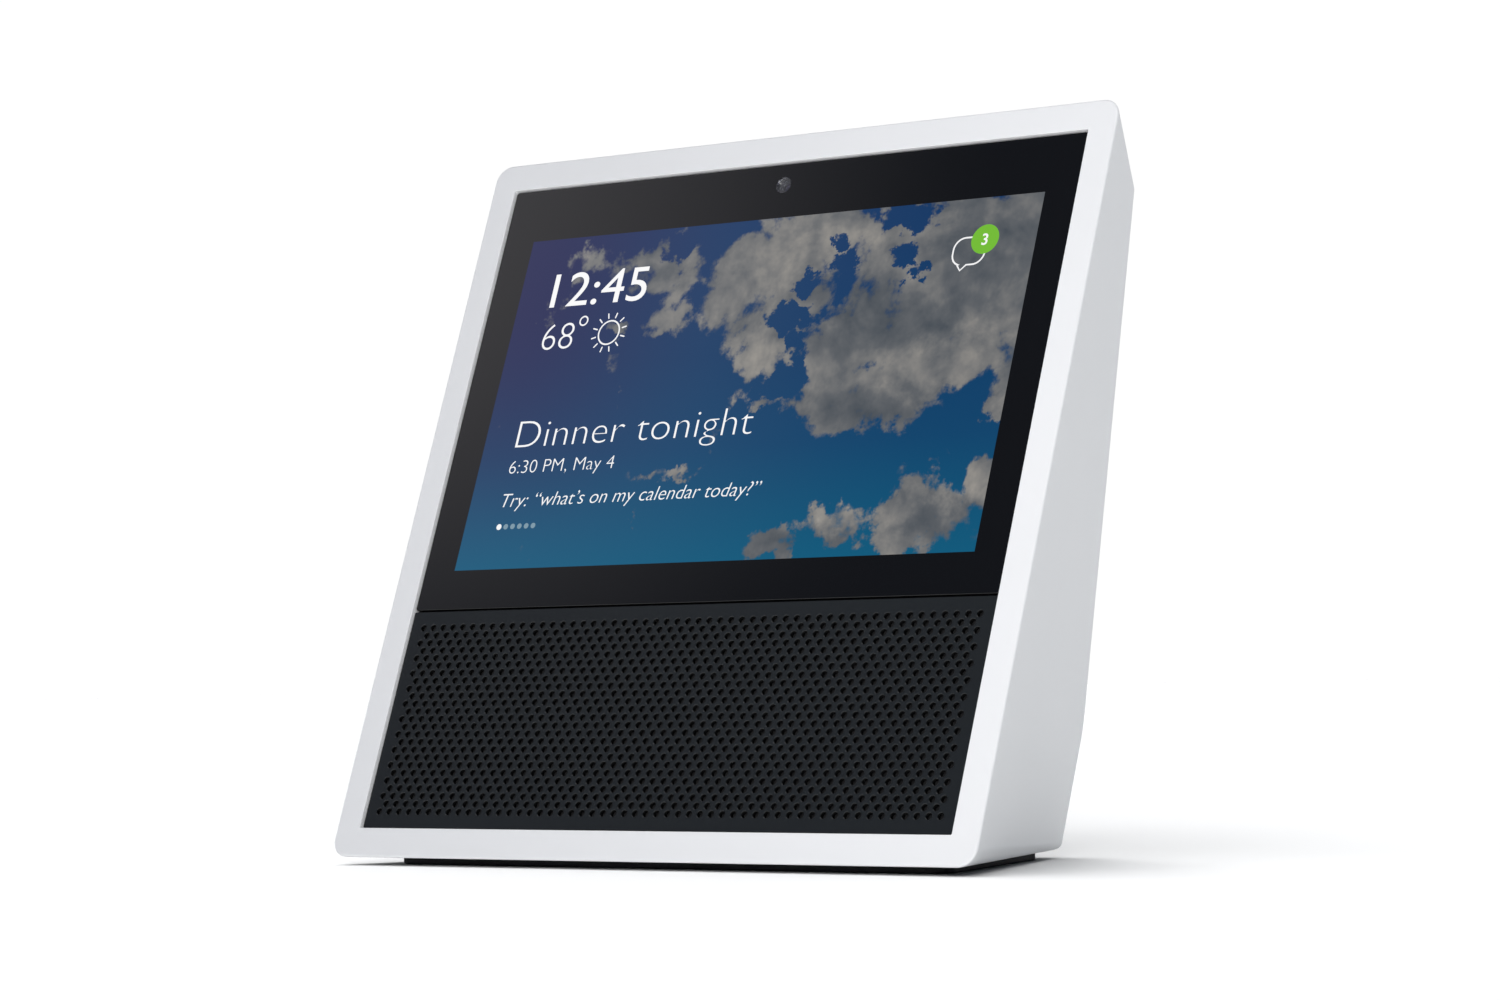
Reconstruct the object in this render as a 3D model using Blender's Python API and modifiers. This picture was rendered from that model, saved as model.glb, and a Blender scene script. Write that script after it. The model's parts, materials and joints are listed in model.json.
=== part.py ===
"""Smart display: a wedge-shaped table-top housing with a leaning square face.

The face carries a 7-inch screen behind a cover glass and, below it, a speaker
grille.  Behind them are two loudspeakers, the boards, the camera, and three
sprung buttons on the top.  Units are metres, +Z is up, and the face looks
along -Y.  The origin is under the middle of the foot print, on the table.

Most pieces are placed in one of three frames:
  base_frame  X right, Y back, Z up, zero at the bottom edge of the face
  face_frame  X right, Y into the body, Z up the slope of the face
  top_frame   X right, Y back along the top, Z out of the top
"""
import math

import bmesh
import bpy
from mathutils import Vector

MM = 0.001
GAP = 0.3 * MM                      # clearance between neighbouring pieces

# Housing: sharp-edged sizes, before the edges are rounded.
FACE_WIDTH = 187.8 * MM
FACE_HEIGHT = 187.4 * MM            # up the slope of the face
DEPTH = 90.55 * MM                  # bottom edge of the face to the upright back
HEEL_DEPTH = 74.1 * MM              # lower back facet, parallel to the face
FACE_LEAN = math.radians(21.36)
SIDE_TAPER = math.radians(20.65)
TOP_TAPER = math.radians(17.62)
WALL = 2.6 * MM
CORNER_RADIUS = 4.7 * MM            # at the face; the corners tighten towards the back
TOP_BACK_RADIUS = 1.3 * MM
HEEL_CORNER_RADIUS = 1.8 * MM
FRONT_EDGE_OFFSET = 0.9 * MM        # tangent length of the fillet round the face
BACK_EDGE_OFFSET = 0.8 * MM
HEEL_BEND_OFFSET = 2.5 * MM         # tangent length of the bend above the heel
BODY_CENTRE_Y = 45.67 * MM          # middle of the rounded housing, front to back

# Face opening, glass and grille, up the slope from the bottom edge of the face.
OPENING_HALF_WIDTH = 86.3 * MM
OPENING_BOTTOM = 7.6 * MM
OPENING_TOP = 179.73 * MM
FACE_RECESS = 0.8 * MM
SEAM = 64.2 * MM                    # between the grille and the glass
SEAM_GAP = 0.5 * MM
GLASS_THICKNESS = 1.1 * MM
GRILLE_THICKNESS = 1.2 * MM
SCREEN_CENTRE = 120.0 * MM
CAMERA_HEIGHT = 173.7 * MM

# Layers behind the glass, as depths from the face.
TAPE_FRONT, TAPE_BACK = 2.2 * MM, 2.7 * MM
LCD_FRONT, LCD_BACK = 2.2 * MM, 3.4 * MM
BACKLIGHT_BACK = 6.5 * MM
CHASSIS_FRONT, CHASSIS_BACK = 3.0 * MM, 8.0 * MM
CHASSIS_POCKET = 6.8 * MM
CHASSIS_SCREW_X, CHASSIS_SCREW_HEIGHTS = 80.0 * MM, (14.0 * MM, 173.0 * MM)
BOSS_RADIUS = 3.5 * MM
LOW_BOSS_END, HIGH_BOSS_END = 26.0 * MM, 27.5 * MM
SCREW_HOLE_RADIUS = 1.6 * MM
SCREW_HOLE_END = 21.5 * MM

# Loudspeakers.
DRIVER_X, DRIVER_HEIGHT = 41.0 * MM, 36.0 * MM
DRIVER_RADIUS = 25.5 * MM
ENCLOSURE_HALF_WIDTH = 71.0 * MM
ENCLOSURE_BACK = 46.0 * MM
ENCLOSURE_WALL = 2.0 * MM
ROUND_STEPS = 20

# Boards.
MAIN_BOARD_FRONT, BOARD_THICKNESS = 16.0 * MM, 1.6 * MM
THIN_BOARD = 1.2 * MM
JACK_X, USB_X, SOCKET_HEIGHT = 0.0, 20.0 * MM, 44.0 * MM
JACK_FACE = 69.6 * MM
IO_BOARD_BACK = 63.5 * MM
IO_POST_X = (-12.0 * MM, 34.0 * MM)

# Top: buttons and microphones, behind the middle line of the top face.
TOP_LENGTH = (DEPTH - FACE_HEIGHT * math.sin(FACE_LEAN)) / math.cos(FACE_LEAN + TOP_TAPER)
TOP_ROW = 2.0 * MM
BUTTON_SPOTS = (-15.0 * MM, 0.0, 15.0 * MM)
BUTTON_RADIUS = 4.2 * MM
MIC_SPOTS = [(30.0 + 13.0 * i) * MM for i in range(4)]

# Foot and base plate, in base_frame: front and back lines and half widths there.
FOOT_HEIGHT = 2.0 * MM
FOOT_OUTLINE = (9.0 * MM, 81.0 * MM, 71.0 * MM, 65.0 * MM)
PLATE_OUTLINE = (12.0 * MM, 79.0 * MM, 69.0 * MM, 63.0 * MM)
PLATE_RECESS = 1.5 * MM
BASE_SCREW_SPOTS = [(-75 * MM, 18 * MM), (75 * MM, 18 * MM), (-58 * MM, 63 * MM), (58 * MM, 63 * MM)]


# ---- scene and helpers ------------------------------------------------------

def clear_scene():
    for old in list(bpy.data.objects):
        bpy.data.objects.remove(old)


def new_collection(name):
    collection = bpy.data.collections.new(name)
    bpy.context.scene.collection.children.link(collection)
    return collection


def plain_material(name, colour, roughness, metallic=0.0):
    material = bpy.data.materials.new(name)
    material.use_nodes = True
    shader = material.node_tree.nodes["Principled BSDF"]
    shader.inputs["Base Color"].default_value = (*colour, 1.0)
    shader.inputs["Roughness"].default_value = roughness
    shader.inputs["Metallic"].default_value = metallic
    material.diffuse_color = (*colour, 1.0)
    return material


def new_frame(name, parent, location, turn_x=0.0):
    frame = bpy.data.objects.new(name, None)
    frame.location = location
    frame.rotation_euler = (turn_x, 0, 0)
    frame.parent = parent
    PARTS.objects.link(frame)
    return frame


def add_object(name, data, frame, location, material):
    """Put a mesh or curve in a frame; without a material it is a cutter."""
    obj = bpy.data.objects.new(name, data)
    obj.location = location
    obj.parent = frame
    if material is None:
        CUTTERS.objects.link(obj)
        obj.hide_render = True
        obj.display_type = "WIRE"
    else:
        PARTS.objects.link(obj)
        obj.data.materials.append(material)
    return obj


def mesh_from(bm, name):
    bmesh.ops.recalc_face_normals(bm, faces=bm.faces)
    mesh = bpy.data.meshes.new(name)
    bm.to_mesh(mesh)
    bm.free()
    return mesh


def box(name, frame, x, y, z, material=None, rounding=0.0):
    """A block between the low and high values of x, y and z in its frame."""
    bm = bmesh.new()
    bmesh.ops.create_cube(bm, size=1.0)
    bmesh.ops.scale(bm, verts=bm.verts, vec=[high - low for low, high in (x, y, z)])
    centre = [(low + high) / 2 for low, high in (x, y, z)]
    obj = add_object(name, mesh_from(bm, name), frame, centre, material)
    if rounding:
        bevel = obj.modifiers.new("rounded edges", "BEVEL")
        bevel.width = rounding
        bevel.segments = 2
    return obj


def rod(name, frame, centre, radius, low, high, axis="Z", material=None, steps=16):
    """A cylinder from low to high along one axis of its frame, through centre."""
    bm = bmesh.new()
    bmesh.ops.create_cone(bm, cap_ends=True, segments=steps, radius1=radius, radius2=radius, depth=high - low)
    spot = Vector(centre)
    spot["XYZ".index(axis)] = (low + high) / 2
    obj = add_object(name, mesh_from(bm, name), frame, spot, material)
    if axis == "Y":
        obj.rotation_euler.x = -math.pi / 2
    if axis == "X":
        obj.rotation_euler.y = math.pi / 2
    return obj


def turned(name, frame, location, profile, material, steps=ROUND_STEPS):
    """Turn a closed (radius, height) outline round Z; it runs down its outer side."""
    bm = bmesh.new()
    points = [bm.verts.new((radius, 0, height)) for radius, height in profile]
    on_axis = profile[0][0] == 0 and profile[-1][0] == 0
    for index, point in enumerate(points[:-1] if on_axis else points):
        bm.edges.new((point, points[(index + 1) % len(points)]))
    mesh = bpy.data.meshes.new(name)
    bm.to_mesh(mesh)
    bm.free()
    obj = add_object(name, mesh, frame, location, material)
    screw = obj.modifiers.new("turned", "SCREW")
    screw.steps = screw.render_steps = steps
    screw.use_merge_vertices = True
    screw.merge_threshold = 0.01 * MM
    screw.use_smooth_shade = True
    return obj


def screw_piece(name, frame, location, head_radius, head, shaft_radius, length, material, turn_x=0.0):
    """A pan-head screw: z = 0 under the head, the shaft running down -Z."""
    profile = [(0, head), (head_radius * 0.7, head), (head_radius, head * 0.5), (head_radius, 0),
               (shaft_radius, 0), (shaft_radius, -length + shaft_radius), (0, -length)]
    obj = turned(name, frame, location, profile, material, steps=10)
    obj.rotation_euler.x = turn_x
    return obj


def ribbon(name, frame, path, x, thickness, material):
    """A flat cable along (y, z) points of its frame, between two values of x."""
    bm = bmesh.new()
    rows = [[bm.verts.new((side, y, z)) for side in x] for y, z in path]
    for near, far in zip(rows, rows[1:]):
        bm.faces.new((near[0], near[1], far[1], far[0]))
    obj = add_object(name, mesh_from(bm, name), frame, (0, 0, 0), material)
    solid = obj.modifiers.new("thickness", "SOLIDIFY")
    solid.thickness = thickness
    solid.offset = 0
    solid.use_even_offset = True
    return obj


def lead(name, frame, start, start_pull, end_pull, end, radius, material):
    """A round wire on the cubic curve through four control points."""
    curve = bpy.data.curves.new(name, "CURVE")
    curve.dimensions = "3D"
    curve.bevel_depth = radius
    curve.bevel_resolution = 2
    curve.use_fill_caps = True
    spline = curve.splines.new("POLY")
    count = 12
    spline.points.add(count - 1)
    for index, point in enumerate(spline.points):
        t = index / (count - 1)
        spot = (Vector(start) * (1 - t) ** 3 + Vector(start_pull) * 3 * t * (1 - t) ** 2
                + Vector(end_pull) * 3 * t ** 2 * (1 - t) + Vector(end) * t ** 3)
        point.co = (*spot, 1)
    return add_object(name, curve, frame, (0, 0, 0), material)


def plate(name, frame, outline, low, high, material=None, radius=4.0 * MM):
    """A tapering plate: front line, half width there, back line, half width there."""
    front, front_half, back, back_half = outline
    bm = bmesh.new()
    bmesh.ops.create_cube(bm, size=1.0)
    for vert in bm.verts:
        at_back = vert.co.y > 0
        vert.co.x *= 2 * (back_half if at_back else front_half)
        vert.co.y = back if at_back else front
        vert.co.z = high if vert.co.z > 0 else low
    uprights = [edge for edge in bm.edges if abs(edge.verts[0].co.z - edge.verts[1].co.z) > MM / 10]
    bmesh.ops.bevel(bm, geom=uprights, offset=radius, segments=4, profile=0.5, affect="EDGES")
    return add_object(name, mesh_from(bm, name), frame, (0, 0, 0), material)


def boolean(obj, other, operation):
    modifier = obj.modifiers.new(other.name, "BOOLEAN")
    modifier.object = other
    modifier.operation = operation
    modifier.solver = "EXACT"


def cut(obj, *cutters):
    for cutter in cutters:
        boolean(obj, cutter, "DIFFERENCE")


def join(obj, *others):
    for other in others:
        boolean(obj, other, "UNION")


# ---- housing ----------------------------------------------------------------

def slice_off(bm, point, outward):
    """Keep what lies behind a plane and close the cut."""
    everything = bm.verts[:] + bm.edges[:] + bm.faces[:]
    bmesh.ops.bisect_plane(bm, geom=everything, plane_co=point, plane_no=outward, clear_outer=True)
    bmesh.ops.holes_fill(bm, edges=[edge for edge in bm.edges if edge.is_boundary])


def slice_back(bm, inset):
    """Cut a block in face_frame at the upright back and at the heel."""
    upright = Vector((0, math.cos(FACE_LEAN), math.sin(FACE_LEAN)))
    slice_off(bm, upright * (DEPTH - inset), upright)
    slice_off(bm, Vector((0, HEEL_DEPTH - inset, 0)), Vector((0, 1, 0)))
    bmesh.ops.recalc_face_normals(bm, faces=bm.faces)


def inner_wedge():
    """The room inside the housing in face_frame, a wall's thickness in from every plane."""
    planes = [
        (Vector((0, 0, 0)), Vector((0, -1, 0))),
        (Vector((FACE_WIDTH / 2, 0, 0)), Vector((math.cos(SIDE_TAPER), math.sin(SIDE_TAPER), 0))),
        (Vector((-FACE_WIDTH / 2, 0, 0)), Vector((-math.cos(SIDE_TAPER), math.sin(SIDE_TAPER), 0))),
        (Vector((0, 0, FACE_HEIGHT)), Vector((0, math.sin(TOP_TAPER), math.cos(TOP_TAPER)))),
        (Vector((0, 0, 0)), Vector((0, math.sin(FACE_LEAN), -math.cos(FACE_LEAN)))),
    ]
    bm = bmesh.new()
    bmesh.ops.create_cube(bm, size=3 * FACE_WIDTH)
    for point, outward in planes:
        slice_off(bm, point - outward * WALL, outward)
    slice_back(bm, WALL)
    return bm


def section(depth, top_radius, bottom_radius, steps):
    """Outline of the housing at a depth behind the face, parallel to the face."""
    half = FACE_WIDTH / 2 - depth * math.tan(SIDE_TAPER)
    low = depth * math.tan(FACE_LEAN)
    high = FACE_HEIGHT - depth * math.tan(TOP_TAPER)
    corners = [(half - top_radius, high - top_radius, top_radius),
               (top_radius - half, high - top_radius, top_radius),
               (bottom_radius - half, low + bottom_radius, bottom_radius),
               (half - bottom_radius, low + bottom_radius, bottom_radius)]
    points = []
    for quarter, (x, z, radius) in enumerate(corners):
        for step in range(steps + 1):
            turn = math.pi / 2 * (quarter + step / steps)
            points.append(Vector((x + radius * math.cos(turn), depth, z + radius * math.sin(turn))))
    return points


def outer_wedge(steps):
    """The housing's block: four corners that tighten from the face to the back."""
    top_depth = TOP_LENGTH * math.cos(TOP_TAPER) + MM
    halfway = CORNER_RADIUS + (HEEL_CORNER_RADIUS - CORNER_RADIUS) * top_depth / HEEL_DEPTH
    rings = [section(0, CORNER_RADIUS, CORNER_RADIUS, steps),
             section(top_depth, TOP_BACK_RADIUS, halfway, steps),
             section(HEEL_DEPTH + MM, TOP_BACK_RADIUS, HEEL_CORNER_RADIUS, steps)]
    bm = bmesh.new()
    rows = [[bm.verts.new(point) for point in ring] for ring in rings]
    for near, far in zip(rows, rows[1:]):
        for index in range(len(near)):
            after = (index + 1) % len(near)
            bm.faces.new((near[index], near[after], far[after], far[index]))
    bm.faces.new(rows[0])
    bm.faces.new(rows[-1])
    slice_back(bm, 0)
    bmesh.ops.remove_doubles(bm, verts=bm.verts, dist=0.02 * MM)
    return bm


def faces_back(face):
    return face.normal.y > 0.7


def faces_front(face):
    return face.normal.y < -0.7


def round_edges(bm, chosen, offset, segments):
    """Round the edges whose two faces make chosen(a, b) true."""
    edges = [edge for edge in bm.edges if chosen(*edge.link_faces)]
    bmesh.ops.bevel(bm, geom=edges, offset=offset, segments=segments, profile=0.5,
                    affect="EDGES", offset_type="OFFSET", clamp_overlap=True)
    bm.normal_update()


def rounded_wedge():
    bm = outer_wedge(4)
    round_edges(bm, lambda a, b: faces_back(a) and faces_back(b), HEEL_BEND_OFFSET, 3)
    round_edges(bm, lambda a, b: faces_back(a) != faces_back(b), BACK_EDGE_OFFSET, 2)
    round_edges(bm, lambda a, b: faces_front(a) != faces_front(b), FRONT_EDGE_OFFSET, 2)
    return bm


def make_housing():
    shell = mesh_from(rounded_wedge(), "housing")
    housing = add_object("housing", shell, face_frame, (0, 0, 0), white_plastic)
    cavity = add_object("cut_cavity", mesh_from(inner_wedge(), "cut_cavity"), face_frame, (0, 0, 0), None)
    opening = box("cut_face_opening", face_frame, (-OPENING_HALF_WIDTH, OPENING_HALF_WIDTH),
                  (-5 * MM, 2 * WALL), (OPENING_BOTTOM, OPENING_TOP))
    cut(housing, cavity, opening)

    for side, height in [(s, h) for s in (-1, 1) for h in CHASSIS_SCREW_HEIGHTS]:
        spot = (side * CHASSIS_SCREW_X, 0, height)
        label = f"{'left' if side < 0 else 'right'}_{'low' if height < SEAM else 'high'}"
        boss_end = LOW_BOSS_END if height < SEAM else HIGH_BOSS_END
        join(housing, rod(f"add_boss_{label}", face_frame, spot, BOSS_RADIUS,
                          CHASSIS_BACK + GAP, boss_end, "Y"))
        cut(housing, rod(f"cut_boss_{label}", face_frame, spot, SCREW_HOLE_RADIUS, CHASSIS_BACK - MM,
                         SCREW_HOLE_END, "Y", steps=10))

    cut(housing, plate("cut_plate_recess", base_frame, PLATE_OUTLINE, -5 * MM, PLATE_RECESS, radius=3 * MM))
    cut(housing, box("cut_base_hole", base_frame, (-50 * MM, 50 * MM), (26 * MM, 58 * MM), (-MM, 5 * MM)))
    for number, (x, y) in enumerate(BASE_SCREW_SPOTS, 1):
        join(housing, rod(f"add_post_{number}", base_frame, (x, y, 0), 3.2 * MM, 2.0 * MM, 10 * MM))
        cut(housing, rod(f"cut_post_{number}", base_frame, (x, y, 0), SCREW_HOLE_RADIUS,
                         -MM, 9 * MM, steps=10))

    for number, x in enumerate(IO_POST_X, 1):
        join(housing, rod(f"add_io_post_{number}", face_frame, (x, 0, SOCKET_HEIGHT), 2.5 * MM,
                          IO_BOARD_BACK + GAP, HEEL_DEPTH - 1.5 * MM, "Y", steps=12))
    cut(housing, rod("cut_jack_hole", face_frame, (JACK_X, 0, SOCKET_HEIGHT), 6.2 * MM,
                     HEEL_DEPTH - 2 * WALL, HEEL_DEPTH + WALL, "Y", steps=24))
    cut(housing, box("cut_usb_hole", face_frame, (USB_X - 4.5 * MM, USB_X + 4.5 * MM),
                     (HEEL_DEPTH - 2 * WALL, HEEL_DEPTH + WALL),
                     (SOCKET_HEIGHT - 2 * MM, SOCKET_HEIGHT + 2 * MM)))

    for number, x in enumerate(BUTTON_SPOTS, 1):
        cut(housing, rod(f"cut_button_{number}", top_frame, (x, TOP_ROW, 0), BUTTON_RADIUS + 0.4 * MM,
                         -2 * WALL, WALL, steps=24))
    for number, x in enumerate([side * spot for side in (-1, 1) for spot in MIC_SPOTS], 1):
        cut(housing, rod(f"cut_mic_{number}", top_frame, (x, TOP_ROW, 0), 0.6 * MM, -2 * WALL, WALL, steps=8))
    return housing


def make_base():
    base = plate("base_plate", base_frame, (PLATE_OUTLINE[0] + GAP, PLATE_OUTLINE[1] - GAP,
                                            PLATE_OUTLINE[2] - GAP, PLATE_OUTLINE[3] - GAP),
                 0.1 * MM, PLATE_RECESS - GAP, dark_plastic, radius=3 * MM)
    foot = plate("foot_pad", base_frame, FOOT_OUTLINE, -FOOT_HEIGHT, -GAP, rubber)
    for number, (x, y) in enumerate(BASE_SCREW_SPOTS, 1):
        cut(base, rod(f"cut_plate_{number}", base_frame, (x, y, 0), SCREW_HOLE_RADIUS, -MM, 3 * MM, steps=10))
        cut(foot, rod(f"cut_foot_{number}", base_frame, (x, y, 0), 3.1 * MM, -1.2 * MM, MM, steps=12))
        screw_piece(f"base_screw_{number}", base_frame, (x, y, 0.1 * MM - GAP), 2.5 * MM, 0.7 * MM,
                    1.25 * MM, 8 * MM, steel, turn_x=math.pi)


# ---- face: glass, screen, grille --------------------------------------------

def make_face():
    half = OPENING_HALF_WIDTH - GAP
    glass_low, glass_high = SEAM + SEAM_GAP / 2, OPENING_TOP - GAP
    box("cover_glass", face_frame, (-half, half), (FACE_RECESS, FACE_RECESS + GLASS_THICKNESS),
        (glass_low, glass_high), black_glass)
    tape = box("glass_adhesive", face_frame, (-half + GAP, half - GAP), (TAPE_FRONT, TAPE_BACK),
               (glass_low + GAP, glass_high - GAP), foam)
    cut(tape, box("cut_tape", face_frame, (-half + 3.5 * MM, half - 3.5 * MM), (0, 2 * TAPE_BACK),
                  (glass_low + 3.5 * MM, glass_high - 2.2 * MM)))
    box("lcd_panel", face_frame, (-80.5 * MM, 80.5 * MM), (LCD_FRONT, LCD_BACK),
        (SCREEN_CENTRE - 48 * MM, SCREEN_CENTRE + 48 * MM), screen)
    box("backlight_unit", face_frame, (-81.5 * MM, 81.5 * MM), (LCD_BACK + GAP, BACKLIGHT_BACK),
        (SCREEN_CENTRE - 49 * MM, SCREEN_CENTRE + 49 * MM), steel, rounding=0.4 * MM)
    box("speaker_grille", face_frame, (-half, half), (FACE_RECESS, FACE_RECESS + GRILLE_THICKNESS),
        (OPENING_BOTTOM + GAP, SEAM - SEAM_GAP / 2), grille_grey)
    box("acoustic_mesh", face_frame, (-half + 2 * MM, half - 2 * MM), (2.3 * MM, 2.6 * MM),
        (OPENING_BOTTOM + 2.3 * MM, SEAM - 2.3 * MM), fabric)


def make_chassis():
    half = OPENING_HALF_WIDTH - 2 * GAP
    chassis = box("front_chassis", face_frame, (-half, half), (CHASSIS_FRONT, CHASSIS_BACK),
                  (OPENING_BOTTOM + 2 * GAP, OPENING_TOP - 2 * GAP), dark_plastic)
    pocket = box("cut_screen_pocket", face_frame, (-82 * MM, 82 * MM), (0, CHASSIS_POCKET),
                 (SCREEN_CENTRE - 49.5 * MM, SCREEN_CENTRE + 49.3 * MM))
    back_window = box("cut_back_window", face_frame, (-60 * MM, 60 * MM), (0, 2 * CHASSIS_BACK),
                      (SCREEN_CENTRE - 30 * MM, SCREEN_CENTRE + 18 * MM))
    speaker_window = box("cut_speaker_window", face_frame, (-72 * MM, 72 * MM), (0, 2 * CHASSIS_BACK),
                         (10 * MM, 62.4 * MM))
    camera_notch = box("cut_camera_notch", face_frame, (-4.6 * MM, 4.6 * MM), (0, 2 * CHASSIS_BACK),
                       (CAMERA_HEIGHT - 4.4 * MM, CAMERA_HEIGHT + 4.4 * MM))
    cut(chassis, pocket, back_window, speaker_window, camera_notch)
    for side, height in [(s, h) for s in (-1, 1) for h in CHASSIS_SCREW_HEIGHTS]:
        spot = (side * CHASSIS_SCREW_X, 0, height)
        label = f"{'left' if side < 0 else 'right'}_{'low' if height < SEAM else 'high'}"
        cut(chassis, rod(f"cut_screw_{label}", face_frame, spot, SCREW_HOLE_RADIUS, 0, 2 * CHASSIS_BACK, "Y",
                         steps=10))
        cut(chassis, rod(f"cut_head_{label}", face_frame, spot, 3.0 * MM, 0, 6 * MM, "Y", steps=12))
        screw_piece(f"chassis_screw_{label}", face_frame, (spot[0], 6 * MM - GAP, height), 2.5 * MM, 1.2 * MM,
                    1.25 * MM, 14 * MM, steel, turn_x=math.pi / 2)
    for number, (side, height) in enumerate([(s, h) for s in (-1, 1) for h in (80 * MM, 144 * MM)], 1):
        join(chassis, rod(f"add_standoff_{number}", face_frame, (side * 52 * MM, 0, height), 3 * MM,
                          7 * MM, MAIN_BOARD_FRONT - GAP, "Y", steps=12))


# ---- loudspeakers -----------------------------------------------------------

def below_enclosure(extra):
    """Block that trims the enclosure parallel to the housing's bottom."""
    low = WALL + 1.9 * MM + extra
    return box(f"cut_enclosure_floor_{round(extra / MM)}", base_frame, (-MM * 100, MM * 100),
               (-60 * MM, 90 * MM), (low - 60 * MM, low))


def make_enclosure():
    front, top = CHASSIS_BACK + GAP, 63 * MM
    outer = box("speaker_enclosure", face_frame, (-ENCLOSURE_HALF_WIDTH, ENCLOSURE_HALF_WIDTH),
                (front, ENCLOSURE_BACK), (9 * MM, top), dark_plastic)
    cut(outer, below_enclosure(0))
    inner_half = ENCLOSURE_HALF_WIDTH - ENCLOSURE_WALL
    inner = box("cut_enclosure_inside", face_frame, (-inner_half, inner_half),
                (front + ENCLOSURE_WALL, ENCLOSURE_BACK - ENCLOSURE_WALL), (0, top - ENCLOSURE_WALL))
    cut(inner, below_enclosure(ENCLOSURE_WALL))
    cut(inner, box("cut_enclosure_lip", face_frame, (-inner_half - MM, inner_half + MM),
                   (0, 2 * ENCLOSURE_BACK), (-MM, 9 * MM + ENCLOSURE_WALL)))
    cut(outer, inner)
    for side in (-1, 1):
        cut(outer, rod(f"cut_driver_{'left' if side < 0 else 'right'}", face_frame,
                       (side * DRIVER_X, 0, DRIVER_HEIGHT), 23.1 * MM,
                       0, front + 2 * ENCLOSURE_WALL, "Y", steps=32))


def half_roll(centre, radius, height, count, downwards):
    """Points over a half circle in a turned profile, inner to outer or back."""
    turns = [math.pi * index / (count - 1) for index in range(count)]
    if downwards:
        turns.reverse()
    return [(centre - radius * math.cos(t), height + radius * math.sin(t)) for t in turns]


def scaled(points):
    """A turned profile given in millimetres, in metres."""
    return [(radius * MM, height * MM) for radius, height in points]


def make_driver(side):
    label = "left" if side < 0 else "right"
    centre = (side * DRIVER_X, CHASSIS_BACK, DRIVER_HEIGHT)
    axis = new_frame(f"{label}_driver_axis", face_frame, centre, math.pi / 2)
    here = (0, 0, 0)
    rim = DRIVER_RADIUS / MM
    basket = [(21.5, 1.6), (rim, 1.6), (rim, 0), (22.6, 0), (22.6, -3), (14.8, -11.6), (11.2, -11.6),
              (11.2, -10.2), (13, -10.2), (21.5, -2.5)]
    turned(f"{label}_driver_frame", axis, here, scaled(basket), steel)
    magnet = [(0, -11.9), (8.2, -11.9), (8.2, -18), (10.6, -18), (10.6, -11.9), (16, -11.9),
              (16, -21), (0, -21)]
    turned(f"{label}_magnet", axis, here, scaled(magnet), steel)
    cone = [(0, -3.0), (4, -3.3), (8, -4.6), (10.2, -5.7), (20.3, 0.9), (20.3, 0.3), (10.4, -6.4), (8, -5.3),
            (4, -4.0), (0, -3.7)]
    turned(f"{label}_cone", axis, here, scaled(cone), paper)
    coil = [(9.0, -6.9), (9.7, -6.9), (9.7, -16), (9.0, -16)]
    turned(f"{label}_voice_coil", axis, here, scaled(coil), copper)
    spider = [(10.2, -8.0), (14.4, -8.0), (14.4, -8.5), (10.2, -8.5)]
    turned(f"{label}_spider", axis, here, scaled(spider), fabric)
    roll = half_roll(22.7, 2.1, 1.9, 6, False) + half_roll(22.7, 1.4, 1.9, 6, True)
    turned(f"{label}_surround", axis, here, scaled(roll), rubber)


# ---- electronics ------------------------------------------------------------

def make_boards():
    front, back = MAIN_BOARD_FRONT, MAIN_BOARD_FRONT + BOARD_THICKNESS
    box("main_board", face_frame, (-58 * MM, 58 * MM), (front, back), (75 * MM, 150 * MM), board_green)
    box("shield_can", face_frame, (-22 * MM, 18 * MM), (back + GAP, back + 2.9 * MM), (96 * MM, 128 * MM),
        steel, rounding=0.5 * MM)
    box("heat_spreader", face_frame, (-46 * MM, 46 * MM), (11.5 * MM, 12.7 * MM),
        (78 * MM, 147 * MM), aluminium)
    for side, label in ((-1, "left"), (1, "right")):
        x = sorted((side * 64 * MM, side * 78 * MM))
        box(f"{label}_antenna", face_frame, x, (12 * MM, 12.8 * MM), (128 * MM, 162 * MM), board_green)
        lead(f"{label}_speaker_lead", face_frame, (side * 34 * MM, 30 * MM, 64.4 * MM),
             (side * 34 * MM, 30 * MM, 74 * MM), (side * 34 * MM, 21 * MM, 74 * MM),
             (side * 34 * MM, 19.2 * MM, 84 * MM), 0.9 * MM, rubber)
    ribbon("lcd_flex", face_frame,
           [(9.0 * MM, 100 * MM), (9.0 * MM, 73.5 * MM), (10.5 * MM, 71.5 * MM), (18.5 * MM, 71.5 * MM),
            (19.6 * MM, 73.5 * MM), (19.6 * MM, 84 * MM)], (-16 * MM, 16 * MM), 0.3 * MM, amber)


def make_camera():
    module = box("camera_module", face_frame, (-4 * MM, 4 * MM), (4.6 * MM, 8.3 * MM),
                 (CAMERA_HEIGHT - 4 * MM, CAMERA_HEIGHT + 4 * MM), dark_plastic)
    cut(module, rod("cut_lens_seat", face_frame, (0, 0, CAMERA_HEIGHT), 3.0 * MM, 0, 6 * MM, "Y"))
    rod("camera_lens", face_frame, (0, 0, CAMERA_HEIGHT), 2.6 * MM, 2.3 * MM, 5.7 * MM, "Y", black_glass)
    ribbon("camera_flex", face_frame, [(8.8 * MM, 172.5 * MM), (8.8 * MM, 160 * MM), (14 * MM, 152 * MM),
                                       (15.4 * MM, 150 * MM), (15.4 * MM, 143 * MM)],
           (-3 * MM, 3 * MM), 0.2 * MM, amber)


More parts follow.
